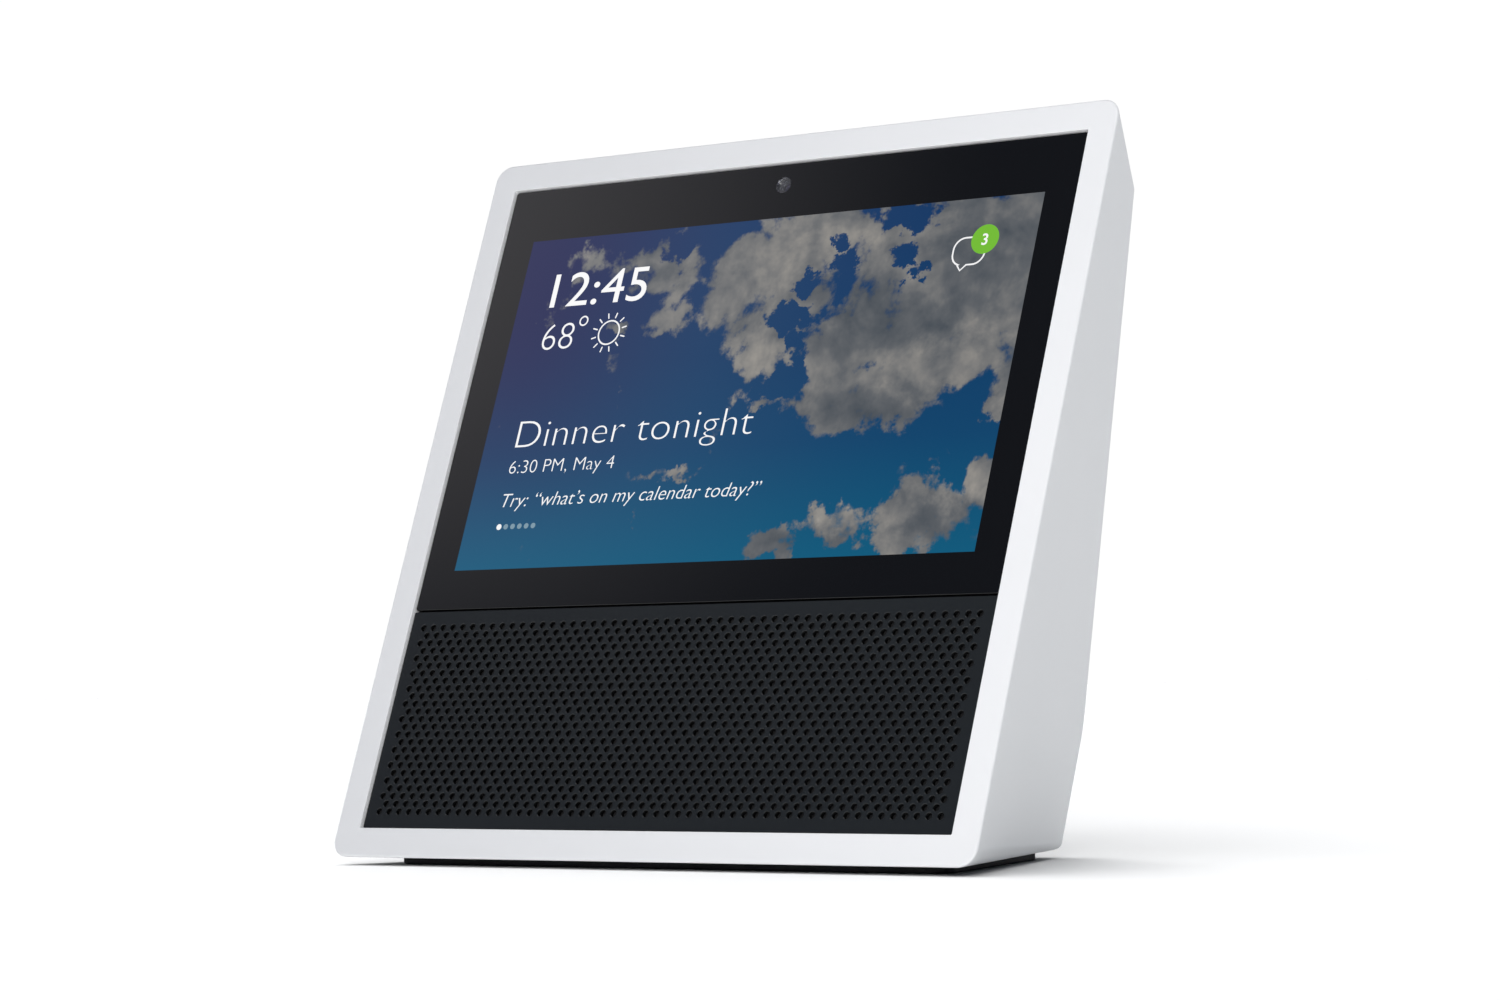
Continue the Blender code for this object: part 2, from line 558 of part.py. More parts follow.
def make_sockets():
    front = IO_BOARD_BACK - THIN_BOARD
    box("io_board", face_frame, (-16 * MM, 38 * MM), (front, IO_BOARD_BACK),
        (SOCKET_HEIGHT - 9 * MM, SOCKET_HEIGHT + 9 * MM), board_green)
    jack = box("power_jack", face_frame, (JACK_X - 5.5 * MM, JACK_X + 5.5 * MM),
               (IO_BOARD_BACK + GAP, JACK_FACE),
               (SOCKET_HEIGHT - 5.5 * MM, SOCKET_HEIGHT + 5.5 * MM), dark_plastic)
    spot = (JACK_X, 0, SOCKET_HEIGHT)
    cut(jack, rod("cut_jack_bore", face_frame, spot, 3.2 * MM,
                  JACK_FACE - 4.8 * MM, JACK_FACE + MM, "Y", steps=20))
    join(jack, rod("add_jack_pin", face_frame, spot, 0.9 * MM,
                   JACK_FACE - 5.2 * MM, JACK_FACE - 0.6 * MM, "Y", steps=10))
    usb = box("usb_port", face_frame, (USB_X - 3.9 * MM, USB_X + 3.9 * MM), (IO_BOARD_BACK + GAP, 73.2 * MM),
              (SOCKET_HEIGHT - 1.5 * MM, SOCKET_HEIGHT + 1.5 * MM), steel)
    cut(usb, box("cut_usb_mouth", face_frame, (USB_X - 3.45 * MM, USB_X + 3.45 * MM), (68 * MM, 75 * MM),
                 (SOCKET_HEIGHT - MM, SOCKET_HEIGHT + MM)))
    lead("io_cable", face_frame, (8 * MM, front - 1.3 * MM, SOCKET_HEIGHT), (8 * MM, 48 * MM, 50 * MM),
         (8 * MM, 52 * MM, 88 * MM), (8 * MM, 19.6 * MM, 86 * MM), 1.2 * MM, rubber)


def make_top():
    box("button_board", top_frame, (-21 * MM, 21 * MM), (TOP_ROW - 4 * MM, TOP_ROW + 4 * MM),
        (-9.6 * MM, -8.4 * MM), board_green)
    for x, label in zip(BUTTON_SPOTS, ("mute", "volume_down", "volume_up")):
        spot = (x, TOP_ROW, 0)
        cap = [(0, 0.4), (3.6, 0.4), (4.2, 0.1), (4.2, -2.9), (5.4, -2.9), (5.4, -3.5), (0, -3.5)]
        turned(f"{label}_button", top_frame, spot, scaled(cap), white_plastic, steps=24)
        rod(f"{label}_plunger", top_frame, spot, 1.5 * MM, -6.0 * MM, -3.8 * MM, "Z", dark_plastic, steps=12)
        switch = box(f"{label}_switch", top_frame, (x - 3 * MM, x + 3 * MM),
                     (TOP_ROW - 3 * MM, TOP_ROW + 3 * MM), (-8.1 * MM, -5.1 * MM), dark_plastic)
        cut(switch, rod(f"cut_{label}_switch", top_frame, spot, 1.9 * MM, -6.8 * MM, 0, "Z", steps=12))
    for side, label in ((-1, "left"), (1, "right")):
        x = sorted((side * 26 * MM, side * 73 * MM))
        board = box(f"{label}_mic_board", top_frame, x, (TOP_ROW - 4 * MM, TOP_ROW + 4 * MM),
                    (-5.6 * MM, -4.6 * MM), board_green)
        for number, spot in enumerate(MIC_SPOTS, 1):
            centre = side * spot
            join(board, box(f"add_{label}_mic_{number}", top_frame, (centre - 1.9 * MM, centre + 1.9 * MM),
                            (TOP_ROW - 1.5 * MM, TOP_ROW + 1.5 * MM), (-4.7 * MM, -3.5 * MM)))


# ---- build ------------------------------------------------------------------

clear_scene()
PARTS = new_collection("smart_display")
CUTTERS = new_collection("cutters")

white_plastic = plain_material("white plastic", (0.80, 0.81, 0.82), 0.42)
dark_plastic = plain_material("dark plastic", (0.03, 0.03, 0.035), 0.5)
black_glass = plain_material("black glass", (0.01, 0.01, 0.012), 0.08)
grille_grey = plain_material("grille", (0.022, 0.026, 0.03), 0.5)
screen = plain_material("screen", (0.02, 0.12, 0.3), 0.2)
rubber = plain_material("rubber", (0.015, 0.015, 0.015), 0.8)
foam = plain_material("foam tape", (0.02, 0.02, 0.02), 0.9)
fabric = plain_material("fabric", (0.02, 0.02, 0.02), 0.95)
steel = plain_material("steel", (0.6, 0.6, 0.6), 0.35, 1.0)
aluminium = plain_material("aluminium", (0.75, 0.76, 0.78), 0.4, 1.0)
copper = plain_material("copper", (0.7, 0.35, 0.2), 0.3, 1.0)
paper = plain_material("cone paper", (0.05, 0.05, 0.05), 0.85)
board_green = plain_material("circuit board", (0.02, 0.16, 0.07), 0.5)
amber = plain_material("flat cable", (0.55, 0.27, 0.05), 0.4)

base_frame = new_frame("base_frame", None, (0, -BODY_CENTRE_Y, FOOT_HEIGHT))
face_frame = new_frame("face_frame", base_frame, (0, 0, 0), -FACE_LEAN)
top_centre = (0, TOP_LENGTH / 2 * math.cos(TOP_TAPER),
              FACE_HEIGHT - TOP_LENGTH / 2 * math.sin(TOP_TAPER))
top_frame = new_frame("top_frame", face_frame, top_centre, -TOP_TAPER)

make_housing()
make_base()
make_face()
make_chassis()
make_enclosure()
make_driver(-1)
make_driver(1)
make_boards()
make_camera()
make_sockets()
make_top()
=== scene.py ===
"""Looks of the smart display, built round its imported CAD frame.

The housing, glass, grille, foot, buttons and camera get finer pieces than the
CAD solids, and everything else keeps its solid with a procedural material.
Most pieces are drawn in millimetres in one of these places:
  FACE    X right, Y into the body, Z up the slope, zero at the face's bottom edge
  SCREEN  the same directions, zero at the middle of the picture, on the glass
  TOP     X right, Y back, Z out of the sloping top, zero at its middle
"""

import json
import math

import bmesh
import bpy
from mathutils import Matrix, Vector

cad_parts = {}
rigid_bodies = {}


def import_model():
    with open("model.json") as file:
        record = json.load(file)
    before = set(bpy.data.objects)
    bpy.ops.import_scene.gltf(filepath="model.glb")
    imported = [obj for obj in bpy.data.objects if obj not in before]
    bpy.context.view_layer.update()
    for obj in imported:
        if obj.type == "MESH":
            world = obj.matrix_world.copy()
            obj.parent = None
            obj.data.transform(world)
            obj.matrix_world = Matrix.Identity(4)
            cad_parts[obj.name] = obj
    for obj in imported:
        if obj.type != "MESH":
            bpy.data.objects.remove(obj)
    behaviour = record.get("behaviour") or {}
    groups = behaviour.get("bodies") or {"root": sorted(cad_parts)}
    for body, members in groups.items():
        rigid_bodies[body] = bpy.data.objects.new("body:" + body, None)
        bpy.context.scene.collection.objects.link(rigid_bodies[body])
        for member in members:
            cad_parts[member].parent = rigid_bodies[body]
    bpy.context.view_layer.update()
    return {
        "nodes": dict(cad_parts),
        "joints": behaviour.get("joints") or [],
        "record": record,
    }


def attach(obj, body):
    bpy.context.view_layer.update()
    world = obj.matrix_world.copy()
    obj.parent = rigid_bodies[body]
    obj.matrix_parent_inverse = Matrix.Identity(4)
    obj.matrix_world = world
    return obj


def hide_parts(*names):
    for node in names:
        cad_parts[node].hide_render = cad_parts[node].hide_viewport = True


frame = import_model()

MM = 0.001
BODY = "display"

# Housing, as in the CAD, in mm.
FACE_WIDTH = 187.8
FACE_HEIGHT = 187.4
DEPTH = 90.55
HEEL_DEPTH = 74.1
SIDE_TAPER = math.radians(20.65)
WALL = 2.6
CORNER_RADIUS = 4.7                  # at the face; the corners tighten towards the back
TOP_BACK_RADIUS = 1.3
HEEL_CORNER_RADIUS = 1.8
FRONT_EDGE_OFFSET = 0.9
BACK_EDGE_OFFSET = 0.8
HEEL_BEND_OFFSET = 2.5
BODY_CENTRE_Y = 45.67
FOOT_HEIGHT = 2.0
OPENING_HALF_WIDTH = 86.3
OPENING_BOTTOM, OPENING_TOP = 7.6, 179.73
OPENING_CORNER = 0.3
RIM_ROUNDING = 0.2
FACING = 0.7                         # how nearly a face's normal points along Y to count as front or back

# Posts and screws, in mm.
SCREW_HOLE_RADIUS = 1.6
CHASSIS_POST_BACKS = {14.0: 26.0, 173.0: 27.5}       # height of a screw: depth where its post ends
CHASSIS_SCREWS = [(side * 80.0, height) for side in (-1, 1) for height in CHASSIS_POST_BACKS]
CHASSIS_POST_RADIUS, CHASSIS_POST_FRONT = 3.5, 8.3
CHASSIS_HOLE_DEPTHS = (7.0, 21.5)
BASE_SCREWS = [(side * x, y) for side in (-1, 1) for x, y in ((75.0, 18.0), (58.0, 63.0))]
BASE_POST_RADIUS, BASE_POST_HEIGHTS = 3.2, (2.0, 10.0)
BASE_HOLE_HEIGHTS = (-1.0, 9.0)
BOARD_POSTS_X = (-12.0, 34.0)
BOARD_POST_RADIUS, BOARD_POST_FRONT, BOARD_POST_INSET = 2.5, 63.8, 1.5

# Openings, in mm. A tapering outline is its front, half its front width, its back, half its back width.
PLATE_OUTLINE = (12.0, 79.0, 69.0, 63.0)
PLATE_CORNER, PLATE_RECESS_HEIGHTS = 3.0, (-5.0, 1.5)
BASE_OPENING = ((-50, 26), (50, 58), 3.0)
BASE_OPENING_HEIGHTS = (-1.0, 5.0)
CUT_OUTSIDE = 4.0                    # how far a cutter stands out of the surface
SOCKET_HEIGHT, SOCKET_RADIUS, SOCKET_ROUNDING = 44.0, 6.2, 0.35
USB_X, USB_HALF_WIDTH, USB_HALF_HEIGHT, USB_CORNER, USB_ROUNDING = 20.0, 4.5, 2.0, 0.9, 0.3
TOP_ROW = 2.0
BUTTONS = {"mute": -15.0, "volume_down": 0.0, "volume_up": 15.0}
BUTTON_HOLE_RADIUS, BUTTON_HOLE_ROUNDING = 4.6, 0.3
MIC_SPOTS = [side * (30.0 + 13.0 * i) for side in (-1, 1) for i in range(4)]
MIC_HOLE_RADIUS, MIC_HOLE_ROUNDING = 0.6, 0.15

# Foot, in mm.
FOOT_OUTLINE = (9.0, 81.0, 71.0, 65.0)
FOOT_CORNER, FOOT_EDGE = 4.0, 0.6
FOOT_RECESS = 0.35                   # how far the middle of the underside is raised
FOOT_RECESS_INSETS = (6.0, 4.2, 3.8)  # its cap, the top of its slope and the foot of its slope
FOOT_SCREW_RADIUS, FOOT_SCREW_HEIGHTS = 3.1, (-1.2, 1.0)

# Screen and camera, in mm.
SCREEN_HEIGHT_UP_FACE = 120.0
SCREEN_SHIFT = (0.4, -0.25)          # how far the picture seems displaced behind the glass
PICTURE_SIZE = (153.6, 90.0)
CAMERA_HEIGHT = 173.7
CAMERA_WINDOW_RADIUS = 2.15

# Grille holes, in mm.
HOLE_HALF_PITCH = 1.5766
HOLE_ROW_STEP = 1.985
HOLE_TOP_ROW = 59.73
HOLE_ROWS = 25
HOLE_HALF_COLUMNS = 52
HOLE_RADIUS = 0.86
HOLE_CHAMFER = 0.11
HOLE_SIDES = 14

# The view: turn to the left, tilt up and roll in degrees, lens in mm, and its spot in metres.
VIEW_ANGLES = (36.533, 2.317, 1.032)
VIEW_LENS = 98.32
VIEW_FROM = (0.58431, -0.78650, 0.04659)

# Light. Directions point from the object; the room's limits are along the world's X and Y.
SOFT_BOX = Vector((-0.666, -0.457, 0.589)).normalized()
OVERHEAD = Vector((0.2, 0.3, 0.93)).normalized()
ROOM_RIGHT = (0.15, 0.6)
ROOM_BACK = (-0.3, 0.05)
FLOOR_SIZE = 6000                    # mm
FLOOR_LAMPS = {                      # source, angle, energy
    "floor_back_lamp": ((-0.20, 0.28, 0.90), 0.35, 1.8),
    "floor_left_lamp": ((-0.25, -0.48, 0.80), 0.7, 1.3),
    "floor_front_lamp": ((0.40, -0.85, 0.62), 0.8, 2.9),
}


def joint_axis(name):
    return next(Vector(joint["axis"]) for joint in frame["joints"] if joint["name"] == name)


out_of_face = joint_axis("left_cone_travel")
into_top = joint_axis("mute_press")
FACE_LEAN = math.atan2(out_of_face.z, -out_of_face.y)
TOP_TAPER = math.atan2(-into_top.y, -into_top.z) - FACE_LEAN
TOP_LENGTH = (DEPTH - FACE_HEIGHT * math.sin(FACE_LEAN)) / math.cos(FACE_LEAN + TOP_TAPER)

MILLIMETRES = Matrix.Scale(MM, 4)
BASE = Matrix.Translation((0, -BODY_CENTRE_Y * MM, FOOT_HEIGHT * MM)) @ MILLIMETRES
FACE = BASE @ Matrix.Rotation(-FACE_LEAN, 4, "X")
TOP = (FACE @ Matrix.Translation((0, TOP_LENGTH / 2 * math.cos(TOP_TAPER),
                                  FACE_HEIGHT - TOP_LENGTH / 2 * math.sin(TOP_TAPER)))
       @ Matrix.Rotation(-TOP_TAPER, 4, "X"))


def span(node, place):
    """Lowest and highest corner of a CAD node in one of the places above."""
    back = place.inverted()
    spots = [back @ vertex.co for vertex in frame["nodes"][node].data.vertices]
    return Vector(map(min, *spots)), Vector(map(max, *spots))


GLASS = span("cover_glass", FACE)
GRILLE = span("speaker_grille", FACE)
FOOT = span("foot_pad", BASE)
SCREEN = FACE @ Matrix.Translation((SCREEN_SHIFT[0], GLASS[0].y, SCREEN_HEIGHT_UP_FACE + SCREEN_SHIFT[1]))


# ---- meshes -----------------------------------------------------------------

def add_object(name, mesh, place):
    """An object whose place is in its mesh, as with the CAD nodes."""
    mesh.name = name
    mesh.transform(place)
    obj = bpy.data.objects.new(name, mesh)
    bpy.context.scene.collection.objects.link(obj)
    return obj


def add_mesh(name, bm, place):
    """An object from a bmesh drawn in millimetres in one of the places."""
    bmesh.ops.recalc_face_normals(bm, faces=bm.faces)
    mesh = bpy.data.meshes.new(name)
    bm.to_mesh(mesh)
    bm.free()
    return add_object(name, mesh, place)


def loft(bm, rings):
    """Closed faces through rings of points, capped at both ends."""
    rows = [[bm.verts.new(point) for point in ring] for ring in rings]
    for near, far in zip(rows, rows[1:]):
        for index in range(len(near)):
            after = (index + 1) % len(near)
            bm.faces.new((near[index], near[after], far[after], far[index]))
    bm.faces.new(rows[0])
    bm.faces.new(rows[-1])


def weld(mesh, distance):
    """Join vertices that meet, and turn the faces outwards."""
    bm = bmesh.new()
    bm.from_mesh(mesh)
    bmesh.ops.remove_doubles(bm, verts=bm.verts, dist=distance)
    bmesh.ops.recalc_face_normals(bm, faces=bm.faces)
    bm.to_mesh(mesh)
    bm.free()


def lofted(name, rings, place):
    bm = bmesh.new()
    loft(bm, rings)
    return add_mesh(name, bm, place)


def turned(name, profile, place, steps=64):
    """Turn a (radius, height) outline round Z; it starts and ends on the axis."""
    rings = [[(radius * math.cos(turn), radius * math.sin(turn), height)
              for turn in [2 * math.pi * step / steps for step in range(steps)]]
             for radius, height in profile]
    obj = lofted(name, rings, place)
    weld(obj.data, 0.001 * MM)
    return obj


def rounded_rectangle(low, high, radius, steps=6):
    """Corner points (a, b) of a rectangle with round corners, anticlockwise."""
    points = []
    for a, b, start in ((high[0] - radius, high[1] - radius, 0), (low[0] + radius, high[1] - radius, 90),
                        (low[0] + radius, low[1] + radius, 180), (high[0] - radius, low[1] + radius, 270)):
        for step in range(steps + 1):
            turn = math.radians(start + 90 * step / steps)
            points.append((a + radius * math.cos(turn), b + radius * math.sin(turn)))
    return points


def grown_rectangle(low, high, radius, by):
    """The same rectangle moved outwards, or inwards where by is below zero."""
    return rounded_rectangle((low[0] - by, low[1] - by), (high[0] + by, high[1] + by), max(radius + by, 0.05))


def quarter(steps=4):
    """Sine and versine along a quarter circle, for rounding an edge."""
    turns = [math.pi / 2 * step / steps for step in range(steps + 1)]
    return [(math.sin(turn), 1 - math.cos(turn)) for turn in turns]


def slab(name, low, high, corner, edge, place):
    """A block along Y with round corners and edges, from corner low to corner high."""
    outline_low, outline_high = (low[0], low[2]), (high[0], high[2])
    front = [(low[1] + edge * rise, -edge * (1 - along)) for along, rise in quarter()]
    back = [(low[1] + high[1] - depth, by) for depth, by in reversed(front)]
    rings = [ring_at(grown_rectangle(outline_low, outline_high, corner, by), depth, "Y")
             for depth, by in front + back]
    return lofted(name, rings, place)


def ring_at(outline, depth, axis):
    """An outline's points at a depth along Y or Z."""
    return [(a, depth, b) if axis == "Y" else (a, b, depth) for a, b in outline]


def flared_cutter(outlines, surface, outside, inside, edge, place, axis):
    """A cutter that rounds over the edge it leaves at a surface.

    outlines(by) gives the (a, b) outline grown by a distance; the depths run
    from outside, past the surface, to inside, along the named axis."""
    into = 1 if inside > outside else -1
    depths = [(outside, edge), (surface, edge)]
    depths += [(surface + into * edge * rise, edge * (1 - along)) for along, rise in quarter()[1:]]
    depths.append((inside, 0))
    return lofted("cutter", [ring_at(outlines(by), depth, axis) for depth, by in depths], place)


def circle(centre, radius, steps):
    turns = [2 * math.pi * step / steps for step in range(steps)]
    return [(centre[0] + radius * math.cos(turn), centre[1] + radius * math.sin(turn)) for turn in turns]


def round_bar(centre, radius, low, high, place, axis, steps=20):
    """A cylinder along Y or Z, for a hole or a post."""
    outline = circle(centre, radius, steps)
    return lofted("cutter", [ring_at(outline, depth, axis) for depth in (low, high)], place)


def plate_outline(front, front_half, back, back_half, radius, by=0.0, steps=10):
    """Outline of a tapering plate, grown by a distance, with round corners."""
    corners = [Vector((front_half, front)), Vector((back_half, back)),
               Vector((-back_half, back)), Vector((-front_half, front))]
    points = []
    for index, corner in enumerate(corners):
        before = (corners[index - 1] - corner).normalized()
        after = (corners[(index + 1) % 4] - corner).normalized()
        half = before.angle(after) / 2
        inward = (before + after).normalized()
        centre = corner + inward * (radius / math.sin(half))
        start = math.atan2(-inward.y, -inward.x)
        sweep = math.pi - 2 * half
        for step in range(steps + 1):
            turn = start - sweep / 2 + sweep * step / steps
            points.append(tuple(centre + Vector((math.cos(turn), math.sin(turn))) * (radius + by)))
    return points


def settle(obj):
    """Apply an object's modifiers."""
    bpy.context.view_layer.update()
    graph = bpy.context.evaluated_depsgraph_get()
    mesh = bpy.data.meshes.new_from_object(obj.evaluated_get(graph), depsgraph=graph)
    obj.modifiers.clear()
    obj.data = mesh
    return obj


def carve(obj, cutters, operation="DIFFERENCE"):
    """Cut or join objects into obj, and remove them."""
    for cutter in cutters:
        modifier = obj.modifiers.new("carve", "BOOLEAN")
        modifier.operation = operation
        modifier.solver = "EXACT"
        modifier.object = cutter
    settle(obj)
    for cutter in cutters:
        bpy.data.objects.remove(cutter)
    return obj


def shade(obj, angle=32, weighted=True):
    """Smooth shading that breaks at sharp edges, with flat faces kept flat."""
    mesh = obj.data
    for polygon in mesh.polygons:
        polygon.use_smooth = True
    mesh.set_sharp_from_angle(angle=math.radians(angle))
    if weighted:
        normals = obj.modifiers.new("flat faces stay flat", "WEIGHTED_NORMAL")
        normals.keep_sharp = True
        normals.weight = 100
        settle(obj)
    return obj


def piece(obj, body, slot, material, *replaced):
    """Finish a piece: its body, its material, and the CAD nodes it stands for."""
    obj.data.materials.clear()
    obj.data.materials.append(material)
    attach(obj, body)
    if replaced:
        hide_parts(*replaced)
    return obj


# ---- materials --------------------------------------------------------------

class Nodes:
    """Short names for building a node tree; lengths are in millimetres."""

    def __init__(self, tree, place=None):
        self.tree = tree
        self.place = place
        tree.nodes.clear()

    def add(self, kind, **settings):
        node = self.tree.nodes.new("ShaderNode" + kind)
        for name, value in settings.items():
            setattr(node, name, value)
        return node

    def feed(self, socket, value):
        if isinstance(value, bpy.types.NodeSocket):
            self.tree.links.new(value, socket)
        elif isinstance(value, (tuple, list)) and len(socket.default_value) == 4:
            socket.default_value = (*value[:3], 1.0)
        else:
            socket.default_value = value

    def spot(self, scale=(1.0, 1.0, 1.0), move=(0.0, 0.0, 0.0)):
        """Coordinates in millimetres in the material's place, moved and then scaled."""
        coordinates = self.add("TexCoord").outputs["Object"]
        if self.place is not None:
            away = self.vector("SUBTRACT", coordinates, self.place.translation)
            level = self.add("VectorRotate", rotation_type="X_AXIS")
            self.feed(level.inputs["Vector"], away)
            self.feed(level.inputs["Angle"], FACE_LEAN)
            coordinates = level.outputs[0]
        return self.vector("MULTIPLY_ADD", coordinates, tuple(factor / MM for factor in scale),
                           tuple(m * s for m, s in zip(move, scale)))

    def math(self, operation, *values):
        node = self.add("Math", operation=operation)
        for socket, value in zip(node.inputs, values):
            self.feed(socket, value)
        return node.outputs[0]

    def vector(self, operation, *values, output="Vector"):
        node = self.add("VectorMath", operation=operation)
        for socket, value in zip(node.inputs, values):
            self.feed(socket, value)
        return node.outputs[output]

    def parts(self, vector):
        node = self.add("SeparateXYZ")
        self.feed(node.inputs[0], vector)
        return node.outputs

    def noise(self, vector, scale, detail=3.0, roughness=0.5, distortion=0.0, output="Fac"):
        node = self.add("TexNoise")
        for name, value in (("Vector", vector), ("Scale", scale), ("Detail", detail),
                            ("Roughness", roughness), ("Distortion", distortion)):
            self.feed(node.inputs[name], value)
        return node.outputs[output]

    def between(self, value, low, high, to_low=0.0, to_high=1.0, kind="SMOOTHSTEP"):
        node = self.add("MapRange", interpolation_type=kind)
        for name, number in (("Value", value), ("From Min", low), ("From Max", high),
                             ("To Min", to_low), ("To Max", to_high)):
            self.feed(node.inputs[name], number)
        return node.outputs[0]

    def mix(self, factor, first, second, blend="MIX"):
        node = self.add("Mix", data_type="RGBA", blend_type=blend)
        self.feed(node.inputs[0], factor)
        self.feed(node.inputs[6], first)
        self.feed(node.inputs[7], second)
        return node.outputs[2]

    def ramp(self, factor, stops):
        node = self.add("ValToRGB")
        self.feed(node.inputs[0], factor)
        elements = node.color_ramp.elements
        while len(elements) < len(stops):
            elements.new(0.5)
        for element, (place, colour) in zip(elements, stops):
            element.position = place
            element.color = (*colour, 1.0)
        return node.outputs[0]

    def bump(self, height, depth, strength=1.0):
        node = self.add("Bump")
        self.feed(node.inputs["Height"], height)
        self.feed(node.inputs["Distance"], depth * MM)
        self.feed(node.inputs["Strength"], strength)
        return node.outputs[0]

    def surface(self, **inputs):
        shader = self.add("BsdfPrincipled")
        for name, value in inputs.items():
            self.feed(shader.inputs[name.replace("_", " ")], value)
        output = self.add("OutputMaterial")
        self.tree.links.new(shader.outputs[0], output.inputs["Surface"])
        return shader


def new_material(name, place=None):
    material = bpy.data.materials.new(name)
    material.use_nodes = True
    return material, Nodes(material.node_tree, place)


def moulded(name, dark, light, roughness, grain, depth, patch=0.03, **fixed):
    """A surface whose colour and gloss drift softly, with a fine grain."""
    material, nodes = new_material(name)
    spot = nodes.spot()
    drift = nodes.noise(spot, patch, detail=4.0)
    fine = nodes.noise(spot, grain, detail=2.0)
    nodes.surface(Base_Color=nodes.mix(drift, dark, light),
                  Roughness=nodes.between(fine, 0.25, 0.75, *roughness, kind="LINEAR"),
                  Normal=nodes.bump(fine, depth), **fixed)
    return material


def brushed(name, dark, light, roughness, stretch, **fixed):
    """Metal with fine streaks along X."""
    material, nodes = new_material(name)
    streaks = nodes.noise(nodes.spot(scale=(stretch, 6.0, 6.0)), 1.0, detail=4.0, roughness=0.6)
    drift = nodes.noise(nodes.spot(), 0.08, detail=3.0)
    nodes.surface(Base_Color=nodes.mix(nodes.math("MULTIPLY", streaks, drift), dark, light), Metallic=1.0,
                  Roughness=nodes.between(streaks, 0.3, 0.7, *roughness, kind="LINEAR"),
                  Normal=nodes.bump(streaks, 0.004), **fixed)
    return material


def woven(name, dark, light, pitch, depth):
    """Crossing threads in the face's plane."""
    material, nodes = new_material(name, SCREEN)
    x, _, z = nodes.parts(nodes.spot())
    waves = [nodes.math("SINE", nodes.math("MULTIPLY", part, 2 * math.pi / pitch)) for part in (x, z)]
    height = nodes.math("ABSOLUTE", nodes.math("MULTIPLY", *waves))
    fuzz = nodes.noise(nodes.spot(), 3.0)
    nodes.surface(Base_Color=nodes.mix(nodes.math("MULTIPLY", height, fuzz), dark, light),
                  Roughness=nodes.between(fuzz, 0.2, 0.8, 0.8, 1.0), Normal=nodes.bump(height, depth),
                  Sheen_Weight=0.3)
    return material


def grille_paint_with_painted_hole_shade(name):
    """Satin dark paint on the front of the plate; on the hole walls the colour turns near black as painted
    shade.
    """
    material, nodes = new_material(name, SCREEN)
    depth = nodes.parts(nodes.spot())[1]
    # Painted shade: from 0.09 to 0.16 mm behind the front the colour turns near black and rough, standing in
    # for the shade inside the holes.
    inside = nodes.between(depth, 0.09, 0.16)
    drift = nodes.noise(nodes.spot(), 0.03, detail=4.0)
    fine = nodes.noise(nodes.spot(), 5.0, detail=2.0)
    paint = nodes.mix(drift, (0.0056, 0.0074, 0.0086), (0.0078, 0.0100, 0.0114))
    gloss = nodes.between(fine, 0.25, 0.75, 0.28, 0.42, kind="LINEAR")
    # The near-black colour mixed in here is the painted shade on the hole walls.
    nodes.surface(Base_Color=nodes.mix(inside, paint, (0.0004, 0.0004, 0.0005)),
                  Roughness=nodes.math("MAXIMUM", gloss, inside), Normal=nodes.bump(fine, 0.012))
    return material


def board_material(name):
    """Green solder mask over copper tracks, with small bright pads."""
    material, nodes = new_material(name)
    cells = nodes.add("TexVoronoi", feature="DISTANCE_TO_EDGE", distance="MANHATTAN")
    nodes.feed(cells.inputs["Vector"], nodes.spot())
    nodes.feed(cells.inputs["Scale"], 0.35)
    tracks = nodes.between(cells.outputs["Distance"], 0.03, 0.06)
    dots = nodes.add("TexVoronoi", feature="F1")
    nodes.feed(dots.inputs["Vector"], nodes.spot())
    nodes.feed(dots.inputs["Scale"], 0.4)
    pads = nodes.between(dots.outputs["Distance"], 0.16, 0.13)
    green = nodes.mix(tracks, (0.03, 0.21, 0.09), (0.012, 0.12, 0.05))
    colour = nodes.mix(pads, green, (0.7, 0.55, 0.28))
    nodes.surface(Base_Color=colour, Roughness=nodes.between(pads, 0.0, 1.0, 0.42, 0.25),
                  Normal=nodes.bump(nodes.math("ADD", tracks, pads), 0.02))
    return material


def wound_copper(name):
    """Close turns of enamelled wire round a coil's own axis."""
    material, nodes = new_material(name)
    across = nodes.parts(nodes.spot())[1]
    turns = nodes.math("SINE", nodes.math("MULTIPLY", across, 2 * math.pi / 0.25))
    drift = nodes.noise(nodes.spot(), 0.5)
    nodes.surface(Base_Color=nodes.mix(drift, (0.55, 0.22, 0.09), (0.78, 0.38, 0.18)), Metallic=1.0,
                  Roughness=nodes.between(turns, -1.0, 1.0, 0.3, 0.42), Normal=nodes.bump(turns, 0.03))
    return material


def lit(name, colour, strength=1.0):
    """Lit pixels: a faint grid of dots under one colour of light."""
    material, nodes = new_material(name, SCREEN)
    x, _, z = nodes.parts(nodes.spot())
    waves = [nodes.math("COSINE", nodes.math("MULTIPLY", part, 2 * math.pi / 0.15)) for part in (x, z)]
    grid = nodes.between(nodes.math("MULTIPLY", *waves), -1.0, 1.0, strength * 0.96, strength)
    nodes.surface(Base_Color=(0.004, 0.004, 0.005), Roughness=0.05, Emission_Color=colour,
                  Emission_Strength=grid)
    return material


# Colour of the sky up the picture, in light given off.
SKY = [(0.0, (0.0, 0.095, 0.190)), (0.33, (0.0, 0.052, 0.142)), (0.6, (0.0, 0.039, 0.124)),
       (1.0, (0.002, 0.034, 0.120))]
DUSK = (0.002, 0.006, 0.072)         # towards the picture's top left
DUSK_ACROSS, DUSK_UP = (-5.0, -75.0), (-50.0, 30.0)  # where it sets in and is full, in mm
# Colour of a cloud from its dark underside to its sunlit edge.
CLOUD_GREYS = [(0.20, (0.062, 0.074, 0.088)), (0.45, (0.108, 0.116, 0.126)), (0.65, (0.178, 0.178, 0.176)),
               (0.88, (0.290, 0.274, 0.250)), (1.0, (0.370, 0.345, 0.310))]
